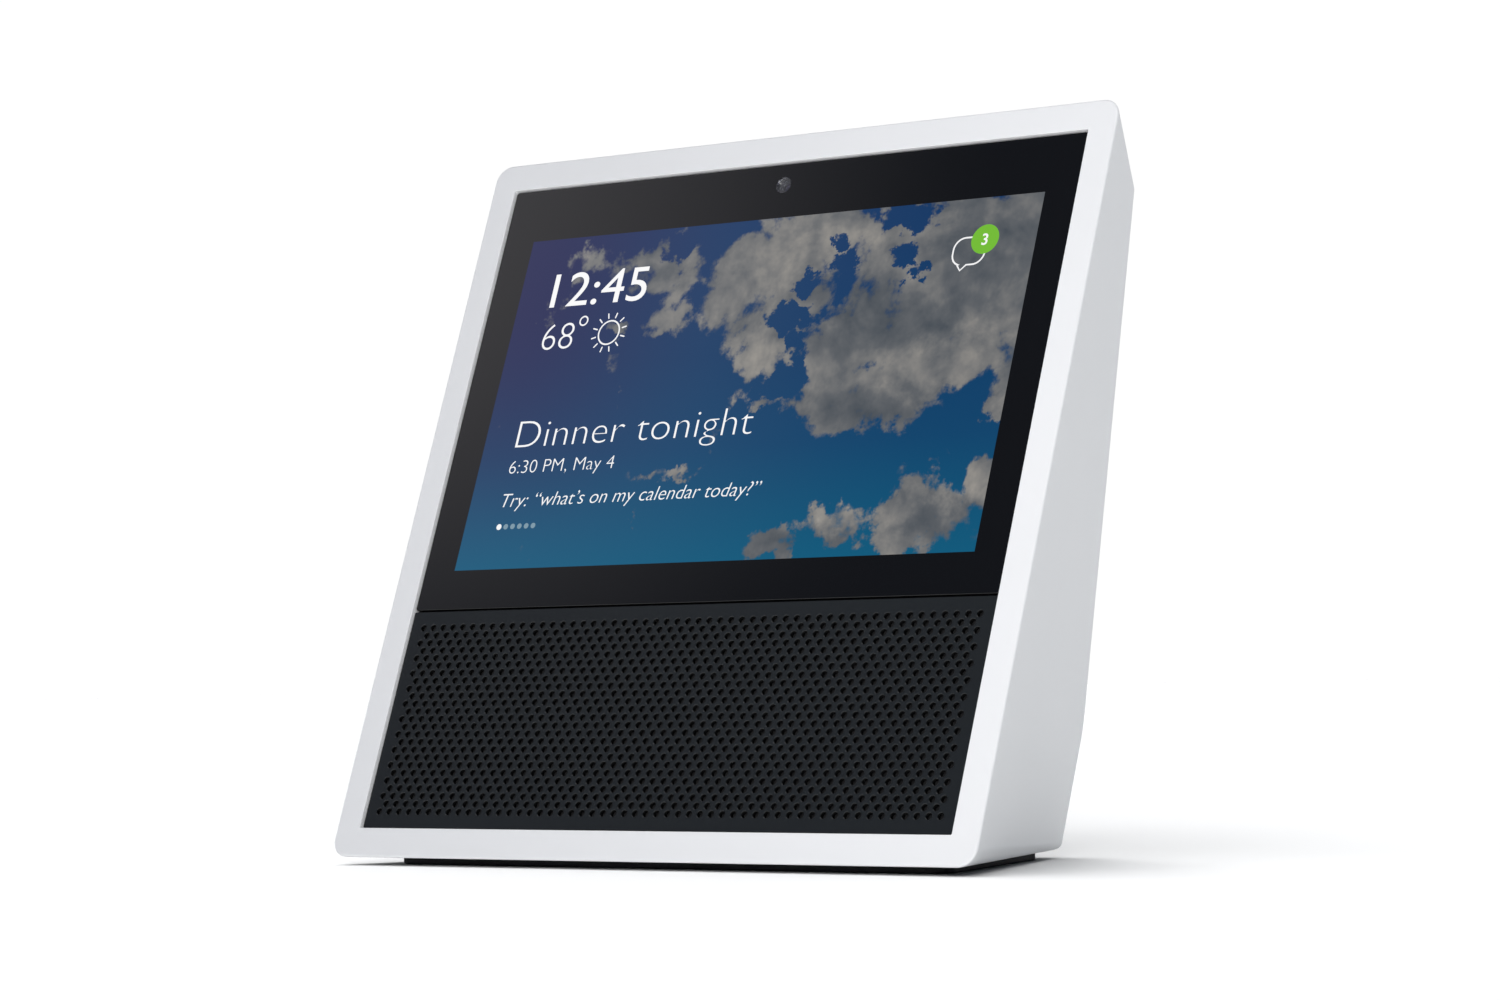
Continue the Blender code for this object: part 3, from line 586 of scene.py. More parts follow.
# Round patches on the picture: middle x, y, half width, half height, strength, in mm from its middle.
CLOUDS = [(0, 30, 22, 23, 1.0), (4, 9, 12, 11, 1.0), (14, 22, 15, 15, 1.0), (24, 12, 12, 12, 1.0),
          (-31, 33, 18, 12, 0.85), (17, 40, 16, 12, 1.0), (-28, 21, 12, 8, 0.78), (50, 25, 36, 30, 1.1),
          (40, -4, 25, 12, 1.1), (60, 5, 22, 13, 1.1), (78, 28, 20, 38, 1.1), (27, -5, 13, 7, 0.9),
          (76, -9, 6, 5, 0.95), (36, -37, 13, 7, 1.05), (20, -41, 11, 5, 0.9), (66, -36, 16, 11, 1.05),
          (54, -38, 8, 8, 0.95), (76, -30, 9, 10, 1.05), (-17, -22, 8, 3, 0.75), (-20, -33, 5, 5, 0.72),
          (9, -4, 7, 3, 0.66), (-43, 18, 6, 3, 0.66), (-64, 25, 12, 7, 0.58), (-60, 37, 10, 7, 0.50)]
GAPS = [(39, 42, 9, 5, 1.3), (41, 31, 4, 4, 1.1), (44, 27, 4, 3, 1.0), (20, 37, 3, 2, 0.9),
        (23, 31, 4, 4, 1.0), (13, 26, 4, 3, 1.2), (11, 18, 8, 4, 1.2), (12, 11, 3, 3, 1.1),
        (-28, 39, 6, 4, 0.8), (14, 2, 5, 4, 0.8)]
# Where the sun reaches the clouds, and where they are thick and dark.
SUNLIT = [(0, 32, 17, 20, 0.85), (22, 38, 12, 12, 0.7), (0, 9, 12, 9, 0.6), (60, 3, 18, 9, 0.75),
          (32, -34, 14, 6, 0.7), (66, -27, 14, 6, 0.7), (-24, 26, 9, 8, 0.5), (52, -36, 7, 7, 0.6),
          (76, -9, 6, 5, 0.6), (-17, -22, 8, 4, 0.4)]
SHADED = [(46, 12, 18, 12, 0.55), (66, 32, 22, 16, 0.4), (42, -8, 16, 8, 0.5), (34, 24, 9, 9, 0.35),
          (68, -38, 12, 6, 0.5), (38, -42, 10, 5, 0.4), (-36, 36, 14, 8, 0.25)]
RUFFLE = 16.0                        # mm, from one side to the other
RAGGEDNESS = 3.2                     # how much the noise breaks up a cloud's outline
CLOUD_EDGE = (0.46, 0.78)            # cover at which a cloud begins and is solid
RELIEF, SUN_WEIGHT = 1.1, 0.36       # how much of a cloud's light is its relief, and the patches above


def ruffled(nodes):
    """Coordinates on the picture, pushed about so that round patches get torn edges."""
    noise = nodes.noise(nodes.spot(), 0.16, detail=8.0, roughness=0.65, output="Color")
    push = nodes.vector("MULTIPLY_ADD", noise, (RUFFLE, 0.0, RUFFLE), (-RUFFLE / 2, 0.0, -RUFFLE / 2))
    return nodes.vector("ADD", nodes.spot(), push)


def blobs(nodes, place, spots, outside=1.45, inside=0.25):
    """The strongest of several soft round patches at each point of the picture."""
    total = None
    for x, y, half_width, half_height, strength in spots:
        within = nodes.vector("MULTIPLY_ADD", place, (1 / half_width, 0.0, 1 / half_height),
                              (-x / half_width, 0.0, -y / half_height))
        away = nodes.vector("LENGTH", within, output="Value")
        patch = nodes.between(away, outside, inside, 0.0, strength)
        total = patch if total is None else nodes.math("MAXIMUM", total, patch)
    return total


def picture(nodes):
    """Colour of the sky picture, in light given off, over the picture's own plane."""
    def billow(move, detail):
        return nodes.noise(nodes.spot(move=move), 0.065, detail=detail, roughness=0.58, distortion=0.15)

    x, _, height = nodes.parts(nodes.spot())
    sky = nodes.ramp(nodes.between(height, -PICTURE_SIZE[1] / 2, PICTURE_SIZE[1] / 2, kind="LINEAR"), SKY)
    dusk = nodes.math("MULTIPLY", nodes.between(x, *DUSK_ACROSS), nodes.between(height, *DUSK_UP))
    sky = nodes.mix(dusk, sky, DUSK)
    ragged = nodes.math("MULTIPLY", nodes.math("SUBTRACT", billow((0.0, 0.0, 0.0), 10.0), 0.5), RAGGEDNESS)
    torn = ruffled(nodes)
    cover = nodes.math("SUBTRACT", blobs(nodes, torn, CLOUDS), blobs(nodes, torn, GAPS, 1.3, 0.2))
    edge = nodes.between(nodes.math("ADD", cover, ragged), *CLOUD_EDGE)

    lit_side = nodes.math("SUBTRACT", billow((0.0, 0.0, 0.0), 4.0), billow((-2.0, 0.0, -3.0), 4.0))
    broad = nodes.noise(nodes.spot(move=(40.0, 0.0, 11.0)), 0.04, detail=6.0, roughness=0.5)
    sun = nodes.math("SUBTRACT", blobs(nodes, torn, SUNLIT, 1.4, 0.0), blobs(nodes, torn, SHADED, 1.5, 0.0))
    light = nodes.math("ADD", nodes.math("ADD", nodes.math("MULTIPLY", lit_side, RELIEF), broad),
                       nodes.math("MULTIPLY", sun, SUN_WEIGHT))
    return nodes.mix(edge, sky, nodes.ramp(light, CLOUD_GREYS))


def picture_mask(nodes):
    """One over the picture on the front of the glass, and zero elsewhere."""
    x, depth, y = nodes.parts(nodes.spot())
    inside = [nodes.math("LESS_THAN", nodes.math("ABSOLUTE", part), size / 2)
              for part, size in zip((x, y), PICTURE_SIZE)]
    inside.append(nodes.math("LESS_THAN", depth, 0.05))
    return nodes.math("MULTIPLY", nodes.math("MULTIPLY", *inside[:2]), inside[2])


def display_glass(name):
    """Black-printed glass with the picture showing through its window."""
    material, nodes = new_material(name, SCREEN)
    smudges = nodes.noise(nodes.spot(), 0.02, detail=5.0, roughness=0.6)
    nodes.surface(Base_Color=nodes.mix(smudges, (0.0004, 0.0004, 0.0005), (0.0010, 0.0010, 0.0012)),
                  Roughness=nodes.between(smudges, 0.3, 0.7, 0.02, 0.045), IOR=1.5,
                  Emission_Color=picture(nodes), Emission_Strength=picture_mask(nodes))
    return material


def clear_glass(name):
    material, nodes = new_material(name)
    smudges = nodes.noise(nodes.spot(), 0.5)
    nodes.surface(Base_Color=(0.9, 0.92, 0.95), Roughness=nodes.between(smudges, 0.2, 0.8, 0.0, 0.02),
                  IOR=1.5, Transmission_Weight=1.0)
    return material


white = moulded("white_plastic", (0.800, 0.804, 0.816), (0.824, 0.828, 0.840), (0.40, 0.50), 4.0, 0.0025)
black = moulded("dark_plastic", (0.018, 0.018, 0.021), (0.030, 0.030, 0.034), (0.42, 0.58), 3.5, 0.01)
materials = {
    "white_housing": white,
    "dark_plastic": black,
    "foot_rubber": moulded("foot_rubber", (0.010, 0.010, 0.011), (0.018, 0.018, 0.019), (0.70, 0.85),
                           2.2, 0.03),
    "cable_rubber": moulded("cable_rubber", (0.012, 0.012, 0.013), (0.022, 0.022, 0.024), (0.55, 0.70),
                            2.0, 0.02),
    "surround_rubber": moulded("surround_rubber", (0.010, 0.010, 0.011), (0.020, 0.020, 0.022),
                               (0.50, 0.65), 2.0, 0.015),
    "black_glass": display_glass("display_glass"),
    "lens_glass": moulded("lens_glass", (0.004, 0.004, 0.012), (0.016, 0.008, 0.030), (0.02, 0.05),
                          0.5, 0.0002, Coat_Weight=1.0, Coat_Roughness=0.02),
    "screen": lit("lit_panel", (0.02, 0.12, 0.30), 0.6),
    "backlight_tray": brushed("backlight_tray", (0.52, 0.52, 0.54), (0.78, 0.78, 0.80), (0.30, 0.45), 0.25),
    "grille": grille_paint_with_painted_hole_shade("grille_paint_and_painted_hole_shade"),
    "acoustic_fabric": woven("acoustic_fabric", (0.004, 0.004, 0.005), (0.022, 0.022, 0.024), 0.5, 0.05),
    "foam_tape": moulded("foam_tape", (0.010, 0.010, 0.010), (0.030, 0.030, 0.030), (0.85, 0.98), 1.8, 0.08),
    "steel": brushed("zinc_steel", (0.42, 0.42, 0.43), (0.72, 0.72, 0.73), (0.28, 0.45), 0.4),
    "aluminium": brushed("sheet_aluminium", (0.60, 0.61, 0.63), (0.86, 0.87, 0.88), (0.30, 0.48), 0.15),
    "copper": wound_copper("wound_copper"),
    "cone_paper": moulded("cone_paper", (0.022, 0.022, 0.022), (0.060, 0.058, 0.056), (0.80, 0.95),
                          1.2, 0.05),
    "circuit_board": board_material("circuit_board"),
    "flat_cable": moulded("flat_cable", (0.42, 0.19, 0.03), (0.62, 0.31, 0.06), (0.25, 0.40), 1.0, 0.005),
}
white_ink = lit("white_pixels", (0.95, 0.95, 0.95))
grey_ink = lit("dim_pixels", (0.20, 0.31, 0.38))
green_ink = lit("green_pixels", (0.17, 0.50, 0.028))
icon_print = moulded("icon_print", (0.26, 0.27, 0.28), (0.34, 0.35, 0.36), (0.45, 0.55), 3.0, 0.002)


# ---- housing ----------------------------------------------------------------

def slice_off(bm, point, outward):
    """Keep what lies behind a plane and close the cut."""
    everything = bm.verts[:] + bm.edges[:] + bm.faces[:]
    bmesh.ops.bisect_plane(bm, geom=everything, plane_co=point, plane_no=outward, clear_outer=True)
    bmesh.ops.holes_fill(bm, edges=[edge for edge in bm.edges if edge.is_boundary])


def slice_back(bm, inset):
    """Cut a block at the upright back and at the heel."""
    upright = Vector((0, math.cos(FACE_LEAN), math.sin(FACE_LEAN)))
    slice_off(bm, upright * (DEPTH - inset), upright)
    slice_off(bm, Vector((0, HEEL_DEPTH - inset, 0)), Vector((0, 1, 0)))
    bmesh.ops.recalc_face_normals(bm, faces=bm.faces)


def inner_wedge():
    """The room inside the housing, a wall's thickness in from every plane."""
    planes = [
        (Vector((0, 0, 0)), Vector((0, -1, 0))),
        (Vector((FACE_WIDTH / 2, 0, 0)), Vector((math.cos(SIDE_TAPER), math.sin(SIDE_TAPER), 0))),
        (Vector((-FACE_WIDTH / 2, 0, 0)), Vector((-math.cos(SIDE_TAPER), math.sin(SIDE_TAPER), 0))),
        (Vector((0, 0, FACE_HEIGHT)), Vector((0, math.sin(TOP_TAPER), math.cos(TOP_TAPER)))),
        (Vector((0, 0, 0)), Vector((0, math.sin(FACE_LEAN), -math.cos(FACE_LEAN)))),
    ]
    bm = bmesh.new()
    bmesh.ops.create_cube(bm, size=3 * FACE_WIDTH)
    for point, outward in planes:
        slice_off(bm, point - outward * WALL, outward)
    slice_back(bm, WALL)
    return bm


def section(depth, top_radius, bottom_radius, steps):
    """Outline of the housing at a depth behind the face, parallel to the face."""
    half = FACE_WIDTH / 2 - depth * math.tan(SIDE_TAPER)
    low = depth * math.tan(FACE_LEAN)
    high = FACE_HEIGHT - depth * math.tan(TOP_TAPER)
    corners = [(half - top_radius, high - top_radius, top_radius),
               (top_radius - half, high - top_radius, top_radius),
               (bottom_radius - half, low + bottom_radius, bottom_radius),
               (half - bottom_radius, low + bottom_radius, bottom_radius)]
    points = []
    for corner, (x, z, radius) in enumerate(corners):
        for step in range(steps + 1):
            turn = math.pi / 2 * (corner + step / steps)
            points.append(Vector((x + radius * math.cos(turn), depth, z + radius * math.sin(turn))))
    return points


def outer_wedge(steps):
    """The housing's block: four corners that tighten from the face to the back."""
    top_depth = TOP_LENGTH * math.cos(TOP_TAPER) + 1
    halfway = CORNER_RADIUS + (HEEL_CORNER_RADIUS - CORNER_RADIUS) * top_depth / HEEL_DEPTH
    bm = bmesh.new()
    loft(bm, [section(0, CORNER_RADIUS, CORNER_RADIUS, steps),
              section(top_depth, TOP_BACK_RADIUS, halfway, steps),
              section(HEEL_DEPTH + 1, TOP_BACK_RADIUS, HEEL_CORNER_RADIUS, steps)])
    slice_back(bm, 0)
    bmesh.ops.remove_doubles(bm, verts=bm.verts, dist=0.02)
    return bm


def faces_back(face):
    return face.normal.y > FACING


def faces_front(face):
    return face.normal.y < -FACING


def round_edges(bm, chosen, offset, segments):
    """Round the edges whose two faces make chosen(a, b) true."""
    edges = [edge for edge in bm.edges if chosen(*edge.link_faces)]
    bmesh.ops.bevel(bm, geom=edges, offset=offset, segments=segments, profile=0.5,
                    affect="EDGES", offset_type="OFFSET", clamp_overlap=True)
    bm.normal_update()


def rounded_wedge():
    bm = outer_wedge(14)
    round_edges(bm, lambda a, b: faces_back(a) and faces_back(b), HEEL_BEND_OFFSET, 8)
    round_edges(bm, lambda a, b: faces_back(a) != faces_back(b), BACK_EDGE_OFFSET, 5)
    round_edges(bm, lambda a, b: faces_front(a) != faces_front(b), FRONT_EDGE_OFFSET, 5)
    return bm


def face_opening(by):
    return grown_rectangle((-OPENING_HALF_WIDTH, OPENING_BOTTOM), (OPENING_HALF_WIDTH, OPENING_TOP),
                           OPENING_CORNER, by)


def usb_opening(by):
    return grown_rectangle((USB_X - USB_HALF_WIDTH, SOCKET_HEIGHT - USB_HALF_HEIGHT),
                           (USB_X + USB_HALF_WIDTH, SOCKET_HEIGHT + USB_HALF_HEIGHT), USB_CORNER, by)


def raised(outline, heights):
    """A cutter that stands between two heights above the base."""
    return lofted("cutter", [ring_at(outline, height, "Z") for height in heights], BASE)


def round_opening(centre, radius, steps):
    return lambda by: circle(centre, radius + by, steps)


def housing_posts():
    posts = [round_bar((x, height), CHASSIS_POST_RADIUS, CHASSIS_POST_FRONT, CHASSIS_POST_BACKS[height],
                       FACE, "Y") for x, height in CHASSIS_SCREWS]
    posts += [round_bar(spot, BASE_POST_RADIUS, *BASE_POST_HEIGHTS, BASE, "Z") for spot in BASE_SCREWS]
    posts += [round_bar((x, SOCKET_HEIGHT), BOARD_POST_RADIUS, BOARD_POST_FRONT,
                        HEEL_DEPTH - BOARD_POST_INSET, FACE, "Y") for x in BOARD_POSTS_X]
    return posts


def housing_holes():
    holes = [round_bar(spot, SCREW_HOLE_RADIUS, *CHASSIS_HOLE_DEPTHS, FACE, "Y") for spot in CHASSIS_SCREWS]
    holes.append(raised(plate_outline(*PLATE_OUTLINE, PLATE_CORNER), PLATE_RECESS_HEIGHTS))
    holes.append(raised(rounded_rectangle(*BASE_OPENING), BASE_OPENING_HEIGHTS))
    holes += [round_bar(spot, SCREW_HOLE_RADIUS, *BASE_HOLE_HEIGHTS, BASE, "Z") for spot in BASE_SCREWS]
    socket = round_opening((0, SOCKET_HEIGHT), SOCKET_RADIUS, 48)
    for opening, rounding in ((socket, SOCKET_ROUNDING), (usb_opening, USB_ROUNDING)):
        holes.append(flared_cutter(opening, HEEL_DEPTH, HEEL_DEPTH + CUT_OUTSIDE, HEEL_DEPTH - 2 * WALL,
                                   rounding, FACE, "Y"))
    top_holes = [(x, BUTTON_HOLE_RADIUS, 48, BUTTON_HOLE_ROUNDING) for x in BUTTONS.values()]
    top_holes += [(x, MIC_HOLE_RADIUS, 20, MIC_HOLE_ROUNDING) for x in MIC_SPOTS]
    for x, radius, steps, rounding in top_holes:
        holes.append(flared_cutter(round_opening((x, TOP_ROW), radius, steps), 0.0, CUT_OUTSIDE, -2 * WALL,
                                   rounding, TOP, "Z"))
    return holes


def make_housing():
    shell = add_mesh("housing_shell", rounded_wedge(), FACE)
    cavity = add_mesh("cutter", inner_wedge(), FACE)
    carve(shell, [cavity, flared_cutter(face_opening, 0.0, -6.0, 2 * WALL, RIM_ROUNDING, FACE, "Y")])
    carve(shell, housing_posts(), "UNION")
    carve(shell, housing_holes())
    shade(shell)
    piece(shell, BODY, "white_housing", white, "housing")


# ---- face -------------------------------------------------------------------

def make_glass():
    corner = SCREEN.inverted() @ FACE
    low, high = corner @ GLASS[0], corner @ GLASS[1]
    glass = slab("cover_glass_sheet", low, high, 0.7, 0.22, SCREEN)
    hole = (-SCREEN_SHIFT[0], CAMERA_HEIGHT - SCREEN_HEIGHT_UP_FACE - SCREEN_SHIFT[1])
    carve(glass, [round_bar(hole, CAMERA_WINDOW_RADIUS, -1.0, 3.0, SCREEN, "Y", steps=48)])
    shade(glass)
    piece(glass, BODY, "black_glass", materials["black_glass"], "cover_glass")


def camera_place(depth):
    """X right, Z out of the face, zero on the camera's axis at a depth behind the face."""
    return FACE @ Matrix.Translation((0, depth, CAMERA_HEIGHT)) @ Matrix.Rotation(math.pi / 2, 4, "X")


def make_camera_eye():
    thickness = GLASS[1].y - GLASS[0].y
    radius = CAMERA_WINDOW_RADIUS - 0.01
    window = turned("camera_window", [(0, 0), (radius, 0), (radius, -thickness), (0, -thickness)],
                    camera_place(GLASS[0].y))
    shade(window)
    window.visible_shadow = False
    piece(window, BODY, "black_glass", clear_glass("camera_window_glass"))

    low, high = span("camera_lens", FACE)
    back = low.y - high.y
    outline = [(0, back + 1.6), (1.25, back + 1.6), (1.25, -0.9), (1.5, -0.75), (1.5, -0.5), (1.95, -0.35),
               (2.05, 0.0), (2.5, 0.0), (2.6, -0.1), (2.6, back), (0, back)]
    barrel = turned("camera_lens_barrel", outline, camera_place(low.y))
    shade(barrel)
    piece(barrel, BODY, "lens_glass", black, "camera_lens")
    dome = [(1.2 * math.sin(turn), -0.62 - 0.55 * (1 - math.cos(turn)))
            for turn in [math.pi / 2 * step / 10 for step in range(11)]]
    lens = turned("camera_lens_dome", dome + [(1.2, -1.5), (0, -1.5)], camera_place(low.y))
    shade(lens)
    piece(lens, BODY, "lens_glass", materials["lens_glass"])


def flat_shape(name, loops, place, half_thickness, rounding=0.0):
    """A thin plate filled between closed outlines; outlines inside others are holes."""
    curve = bpy.data.curves.new(name, "CURVE")
    curve.dimensions = "2D"
    curve.fill_mode = "BOTH"
    curve.extrude = half_thickness - rounding
    curve.bevel_depth = rounding
    curve.bevel_resolution = 0
    for loop in loops:
        spline = curve.splines.new("POLY")
        spline.points.add(len(loop) - 1)
        spline.points.foreach_set("co", [number for x, y in loop for number in (x, y, 0.0, 1.0)])
        spline.use_cyclic_u = True
    return add_object(name, filled(name, curve), place)


def filled(name, curve):
    """A closed mesh from a flat curve or text, its outlines standing in the XZ plane."""
    flat = bpy.data.objects.new(name, curve)
    bpy.context.scene.collection.objects.link(flat)
    bpy.context.view_layer.update()
    graph = bpy.context.evaluated_depsgraph_get()
    mesh = bpy.data.meshes.new_from_object(flat.evaluated_get(graph), depsgraph=graph)
    mesh.transform(Matrix.Rotation(math.pi / 2, 4, "X"))
    bpy.data.objects.remove(flat)
    weld(mesh, 0.0005)
    return mesh


def make_grille():
    low, high = GRILLE
    middle, half = (low.y + high.y) / 2, (high.y - low.y) / 2
    edge = HOLE_CHAMFER
    loops = [rounded_rectangle((low.x + edge, low.z + edge), (high.x - edge, high.z - edge), 0.3)]
    for row in range(HOLE_ROWS):
        height = HOLE_TOP_ROW - row * HOLE_ROW_STEP
        start = -HOLE_HALF_COLUMNS + row % 2
        for column in range(start, -start + 1, 2):
            loops.append(circle((column * HOLE_HALF_PITCH, height), HOLE_RADIUS + HOLE_CHAMFER, HOLE_SIDES))
    plate = flat_shape("grille_plate", loops, FACE @ Matrix.Translation((0, middle, 0)), half, HOLE_CHAMFER)
    shade(plate, angle=30, weighted=False)
    piece(plate, BODY, "grille", materials["grille"], "speaker_grille")


# ---- picture's text and icons -----------------------------------------------

PIXEL_HALF_THICKNESS = 0.01
PIXEL_LIFT = -0.04


def letters(name, body, weight=0.0, slant=0.0):
    """A text mesh at size one, on its own baseline."""
    curve = bpy.data.curves.new(name, "FONT")
    curve.body = body
    curve.size = 1.0
    curve.offset = weight
    curve.shear = slant
    curve.resolution_u = 6
    curve.extrude = PIXEL_HALF_THICKNESS
    return filled(name, curve)


CAP_HEIGHT = max(vertex.co.z for vertex in letters("capital", "H").vertices)


def write(name, body, left, right, base, cap, weight=0.0, slant=0.0, material=white_ink, lift=PIXEL_LIFT):
    """Text between left and right on a baseline, with capitals of a given height."""
    mesh = letters(name, body, weight, slant)
    spots = [vertex.co.x for vertex in mesh.vertices]
    start = min(spots)
    across = (right - left) / (max(spots) - start)
    for vertex in mesh.vertices:
        x, depth, up = vertex.co
        vertex.co = (left + (x - start) * across, depth + lift, base + up * cap / CAP_HEIGHT)
    return piece(add_object(name, mesh, SCREEN), BODY, "screen", material)


def icon(name, loops, material=white_ink, lift=PIXEL_LIFT, place=SCREEN, half_thickness=PIXEL_HALF_THICKNESS,
         body=BODY, slot="screen"):
    obj = flat_shape(name, loops, place @ Matrix.Translation((0, lift, 0)), half_thickness)
    return piece(obj, body, slot, material)


def ring(centre, radius, width, steps=48):
    return [circle(centre, radius + width / 2, steps), circle(centre, radius - width / 2, steps)]


def bar(start, end, width):
    """A thin bar with round ends."""
    start, end = Vector(start), Vector(end)
    angle = math.atan2(*(end - start).yx)
    points = []
    for middle, turn in ((end, angle - math.pi / 2), (start, angle + math.pi / 2)):
        for step in range(7):
            at = turn + math.pi * step / 6
            points.append((middle.x + width / 2 * math.cos(at), middle.y + width / 2 * math.sin(at)))
    return points


def stroke(points, width):
    """Outer and inner outlines of a closed line of a given width."""
    outlines = []
    for side in (0.5, -0.5):
        moved = []
        for index, point in enumerate(points):
            before, after = Vector(points[index - 1]), Vector(points[(index + 1) % len(points)])
            along = (after - before).normalized()
            moved.append((point[0] + along.y * side * width, point[1] - along.x * side * width))
        outlines.append(moved)
    return outlines


def make_screen_content():
    write("text_time", "12:45", -66.4, -36.2, 25.8, 9.15)
    write("text_temperature", "68", -66.0, -56.3, 13.9, 7.3, weight=-0.020)
    icon("icon_degree", ring((-53.95, 21.3), 1.2, 0.4))
    sun = Vector((-45.0, 17.5))
    turns = [math.radians(30 * step + 15) for step in range(12)]
    directions = [Vector((math.cos(turn), math.sin(turn))) for turn in turns]
    rays = [bar(sun + direction * 4.1, sun + direction * 5.3, 0.36) for direction in directions]
    icon("icon_sun", ring(sun, 3.2, 0.4) + rays)
    write("text_event", "Dinner tonight", -66.7, 6.3, -12.6, 7.4, weight=-0.021)
    write("text_date", "6:30 PM, May 4", -66.8, -33.8, -19.5, 3.5, weight=-0.018)
    write("text_hint", "Try: “what’s on my calendar today?”", -66.6, 12.7, -28.5, 3.6, weight=-0.012,
          slant=0.22)
    icon("icon_page_now", [circle((-65.7, -33.75), 0.78, 24)])
    icon("icon_pages", [circle((-65.7 + 2.17 * step, -33.75), 0.72, 24) for step in range(1, 6)], grey_ink)

    bubble = rounded_rectangle((54.2, 27.7), (63.2, 34.8), 3.0, steps=10)
    tail_at = next(index for index, (x, y) in enumerate(bubble) if y < 27.71)
    icon("icon_messages", stroke(bubble[:tail_at] + [(55.9, 28.0), (57.1, 26.3), (58.6, 27.7)]
                                 + bubble[tail_at + 1:], 0.42))
    badge = (62.6, 34.0)
    icon("icon_badge", [circle(badge, 3.8, 64)], green_ink, lift=2 * PIXEL_LIFT)
    write("text_badge", "3", badge[0] - 0.8, badge[0] + 0.8, badge[1] - 1.45, 2.8, weight=0.015,
          lift=3 * PIXEL_LIFT)


# ---- foot and buttons -------------------------------------------------------

def make_foot():
    low, high = FOOT
    cap_inset, slope_top, slope_foot = FOOT_RECESS_INSETS
    levels = [(low.z + FOOT_RECESS, -cap_inset), (low.z + FOOT_RECESS, -slope_top), (low.z, -slope_foot)]
    levels += [(low.z + FOOT_EDGE * rise, -FOOT_EDGE * (1 - along)) for along, rise in quarter()]
    levels.append((high.z, 0.0))
    rings = [ring_at(plate_outline(*FOOT_OUTLINE, FOOT_CORNER, by=by), z, "Z") for z, by in levels]
    foot = lofted("foot_cushion", rings, BASE)
    carve(foot, [round_bar(spot, FOOT_SCREW_RADIUS, *FOOT_SCREW_HEIGHTS, BASE, "Z", steps=32)
                 for spot in BASE_SCREWS])
    shade(foot)
    piece(foot, BODY, "foot_rubber", materials["foot_rubber"], "foot_pad")


def make_buttons():
    for label, x in BUTTONS.items():
        place = TOP @ Matrix.Translation((x, TOP_ROW, 0))
        dish = [(0, 0.28), (1.5, 0.29), (2.6, 0.33), (3.4, 0.39)]
        rim = [(3.4 + 0.8 * along * 0.98, 0.4 - 0.55 * rise) for along, rise in quarter(6)]
        skirt = [(4.2, -0.4), (4.2, -2.9), (5.4, -2.9), (5.4, -3.5), (0, -3.5)]
        cap = turned(f"{label}_cap", dish + rim + skirt, place)
        shade(cap)
        piece(cap, label, "white_housing", white, f"{label}_button")
    flat = Matrix.Rotation(-math.pi / 2, 4, "X")
    marks = {
        "volume_down": [bar((-1.3, 0), (1.3, 0), 0.34)],
        "volume_up": [[(0.17, 0.17), (1.3, 0.17), (1.3, -0.17), (0.17, -0.17), (0.17, -1.3),
                       (-0.17, -1.3), (-0.17, -0.17), (-1.3, -0.17), (-1.3, 0.17), (-0.17, 0.17),
                       (-0.17, 1.3), (0.17, 1.3)]],
        "mute": ring((0, 0), 1.3, 0.34) + [bar((-0.58, -0.58), (0.58, 0.58), 0.34)],
    }
    for label, loops in marks.items():
        place = TOP @ Matrix.Translation((BUTTONS[label], TOP_ROW, 0.285)) @ flat
        icon(f"{label}_mark", loops, icon_print, lift=0.0, place=place, half_thickness=0.012, body=label,
             slot="dark_plastic")


# ---- everything else, light and camera --------------------------------------

def dress_cad_nodes():
    """Give each CAD node the material of its slot, and soften the edges that show."""
    for part in frame["record"]["subparts"]:
        obj = frame["nodes"][part["node"]]
        obj.data.materials.clear()
        obj.data.materials.append(materials[part["material_slot"]])
    for name, width in (("power_jack", 0.25), ("usb_port", 0.08), ("shield_can", 0.2)):
        bevel = frame["nodes"][name].modifiers.new("soft edges", "BEVEL")
        bevel.width = width * MM
        bevel.segments = 3
        bevel.limit_method = "ANGLE"


def make_floor():
    bm = bmesh.new()
    bmesh.ops.create_grid(bm, x_segments=1, y_segments=1, size=FLOOR_SIZE)
    floor = add_mesh("floor", bm, MILLIMETRES)
    material, nodes = new_material("floor_paper")
    drift = nodes.noise(nodes.spot(), 0.004)
    nodes.surface(Base_Color=nodes.mix(drift, (0.545, 0.545, 0.545), (0.555, 0.555, 0.555)), Roughness=0.9,
                  Specular_IOR_Level=0.0)
    floor.data.materials.append(material)


def add_lamp(name, kind, source, target, lights, **settings):
    """A soft lamp, unseen in the gloss, that lights one collection of objects."""
    lamp = bpy.data.lights.new(name, kind)
    for setting, value in settings.items():
        setattr(lamp, setting, value)
    obj = bpy.data.objects.new(name, lamp)
    obj.location = source
    obj.rotation_mode = "QUATERNION"
    obj.rotation_quaternion = (Vector(target) - Vector(source)).to_track_quat("-Z", "Y")
    obj.visible_glossy = False
    obj.visible_camera = False
    obj.light_linking.receiver_collection = lights
    bpy.context.scene.collection.objects.link(obj)


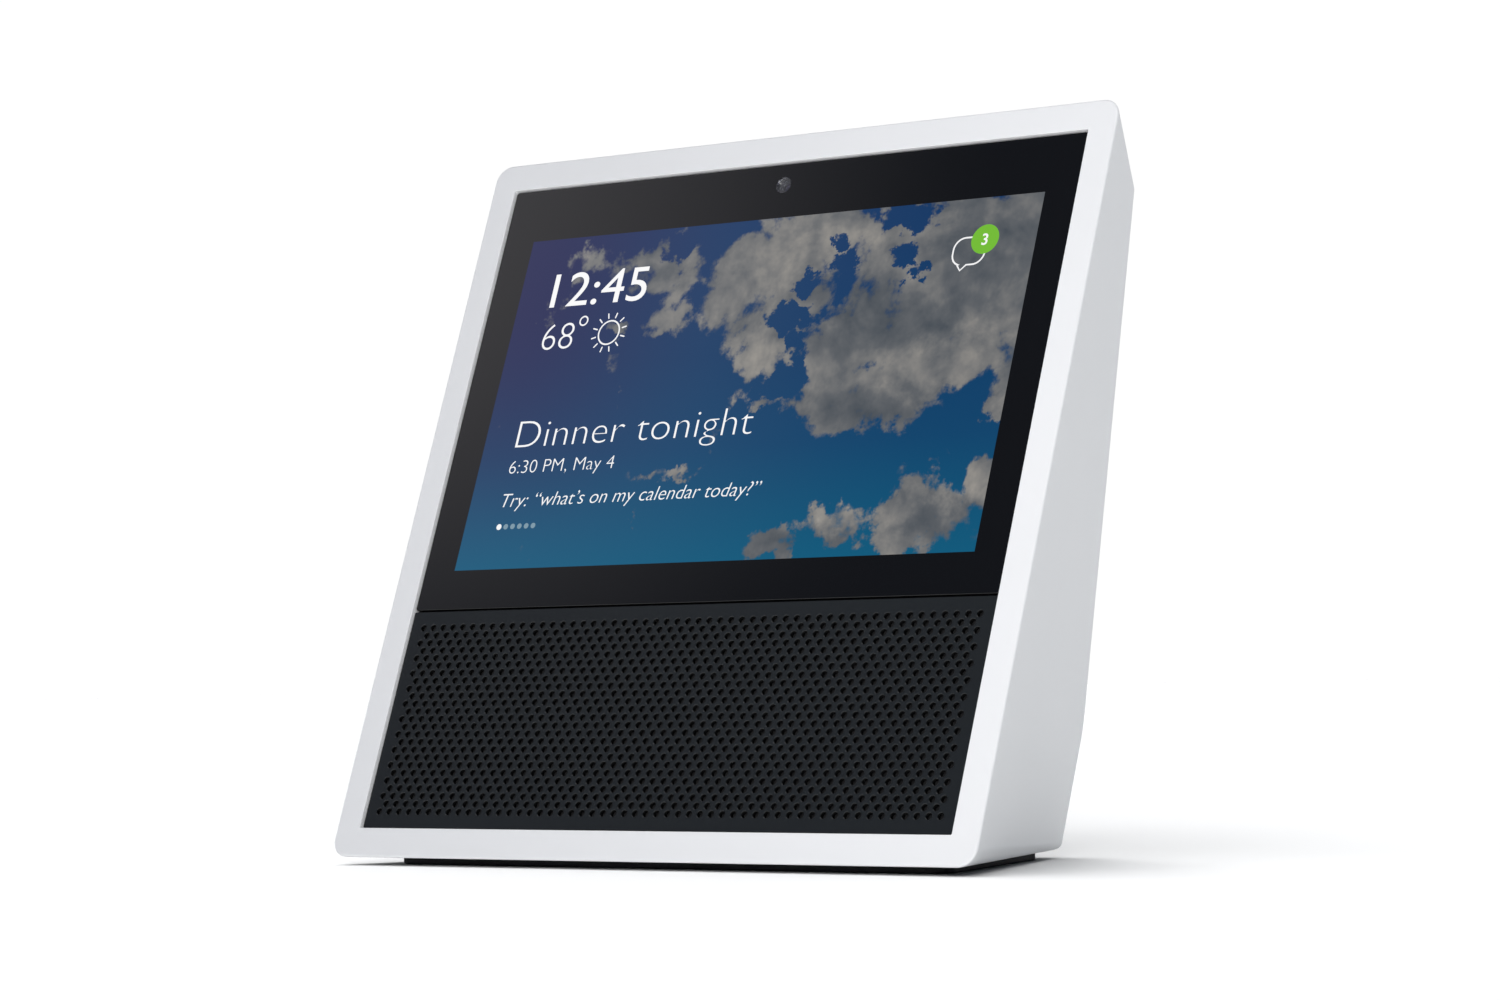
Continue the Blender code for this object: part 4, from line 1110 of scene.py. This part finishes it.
def make_world():
    """A white room behind the object, dim in front and at the right, with two soft boxes."""
    world = bpy.data.worlds.new("studio")
    bpy.context.scene.world = world
    world.use_nodes = True
    nodes = Nodes(world.node_tree)
    direction = nodes.add("TexCoord").outputs["Generated"]
    x, y, _ = nodes.parts(direction)
    towards_box = nodes.vector("DOT_PRODUCT", direction, SOFT_BOX, output="Value")
    box = nodes.math("POWER", nodes.between(towards_box, 0.987, 1.0, kind="LINEAR"), 2.0)
    to_right = nodes.between(x, *ROOM_RIGHT)
    front = nodes.mix(box, (0.140, 0.155, 0.200), (1.0, 0.98, 1.04))
    front = nodes.mix(to_right, front, (0.03, 0.055, 0.085))
    back = nodes.mix(to_right, (0.84, 0.85, 0.86), (0.03, 0.06, 0.09))
    room = nodes.mix(nodes.between(y, *ROOM_BACK), front, back)
    overhead = nodes.vector("DOT_PRODUCT", direction, OVERHEAD, output="Value")
    light = nodes.mix(nodes.between(overhead, 0.93, 0.97), room, (2.2, 2.2, 2.2))
    seen = nodes.add("LightPath").outputs["Is Camera Ray"]
    background = nodes.add("Background")
    nodes.feed(background.inputs["Color"], nodes.mix(seen, light, (1.02, 1.02, 1.02)))
    output = nodes.add("OutputWorld")
    world.node_tree.links.new(background.outputs[0], output.inputs["Surface"])


def make_lamps():
    """One soft key for the display, and three that light only the floor and its shadow."""
    display = bpy.data.collections.new("lit_display")
    floor = bpy.data.collections.new("lit_floor")
    for obj in bpy.context.scene.objects:
        (floor if obj.name == "floor" else display).objects.link(obj)
    add_lamp("key", "AREA", (0.22, -0.42, 0.23), (0.04, 0, 0.09), display, size=0.3, energy=1.65,
             color=(1.0, 0.99, 0.97))
    for name, (source, angle, energy) in FLOOR_LAMPS.items():
        add_lamp(name, "SUN", source, (0, 0, 0), floor, angle=angle, energy=energy)


def make_camera():
    """The camera stands low, in front and to the right of the display."""
    yaw, pitch, roll = (math.radians(angle) for angle in VIEW_ANGLES)
    forward = Vector((-math.sin(yaw) * math.cos(pitch), math.cos(yaw) * math.cos(pitch), math.sin(pitch)))
    level_right = Vector((math.cos(yaw), math.sin(yaw), 0))
    level_down = forward.cross(level_right)
    right = level_right * math.cos(roll) + level_down * math.sin(roll)
    down = -level_right * math.sin(roll) + level_down * math.cos(roll)
    data = bpy.data.cameras.new("camera")
    data.lens = VIEW_LENS
    data.sensor_width = 36.0
    data.clip_start, data.clip_end = 0.05, 50.0
    camera = bpy.data.objects.new("camera", data)
    axes = Matrix((right, -down, -forward)).transposed().to_4x4()
    camera.matrix_world = Matrix.Translation(VIEW_FROM) @ axes
    bpy.context.scene.collection.objects.link(camera)
    bpy.context.scene.camera = camera


make_housing()
make_glass()
make_camera_eye()
make_grille()
make_screen_content()
make_foot()
make_buttons()
dress_cad_nodes()
make_floor()
make_world()
make_lamps()
make_camera()
bpy.context.scene.view_settings.view_transform = "Standard"
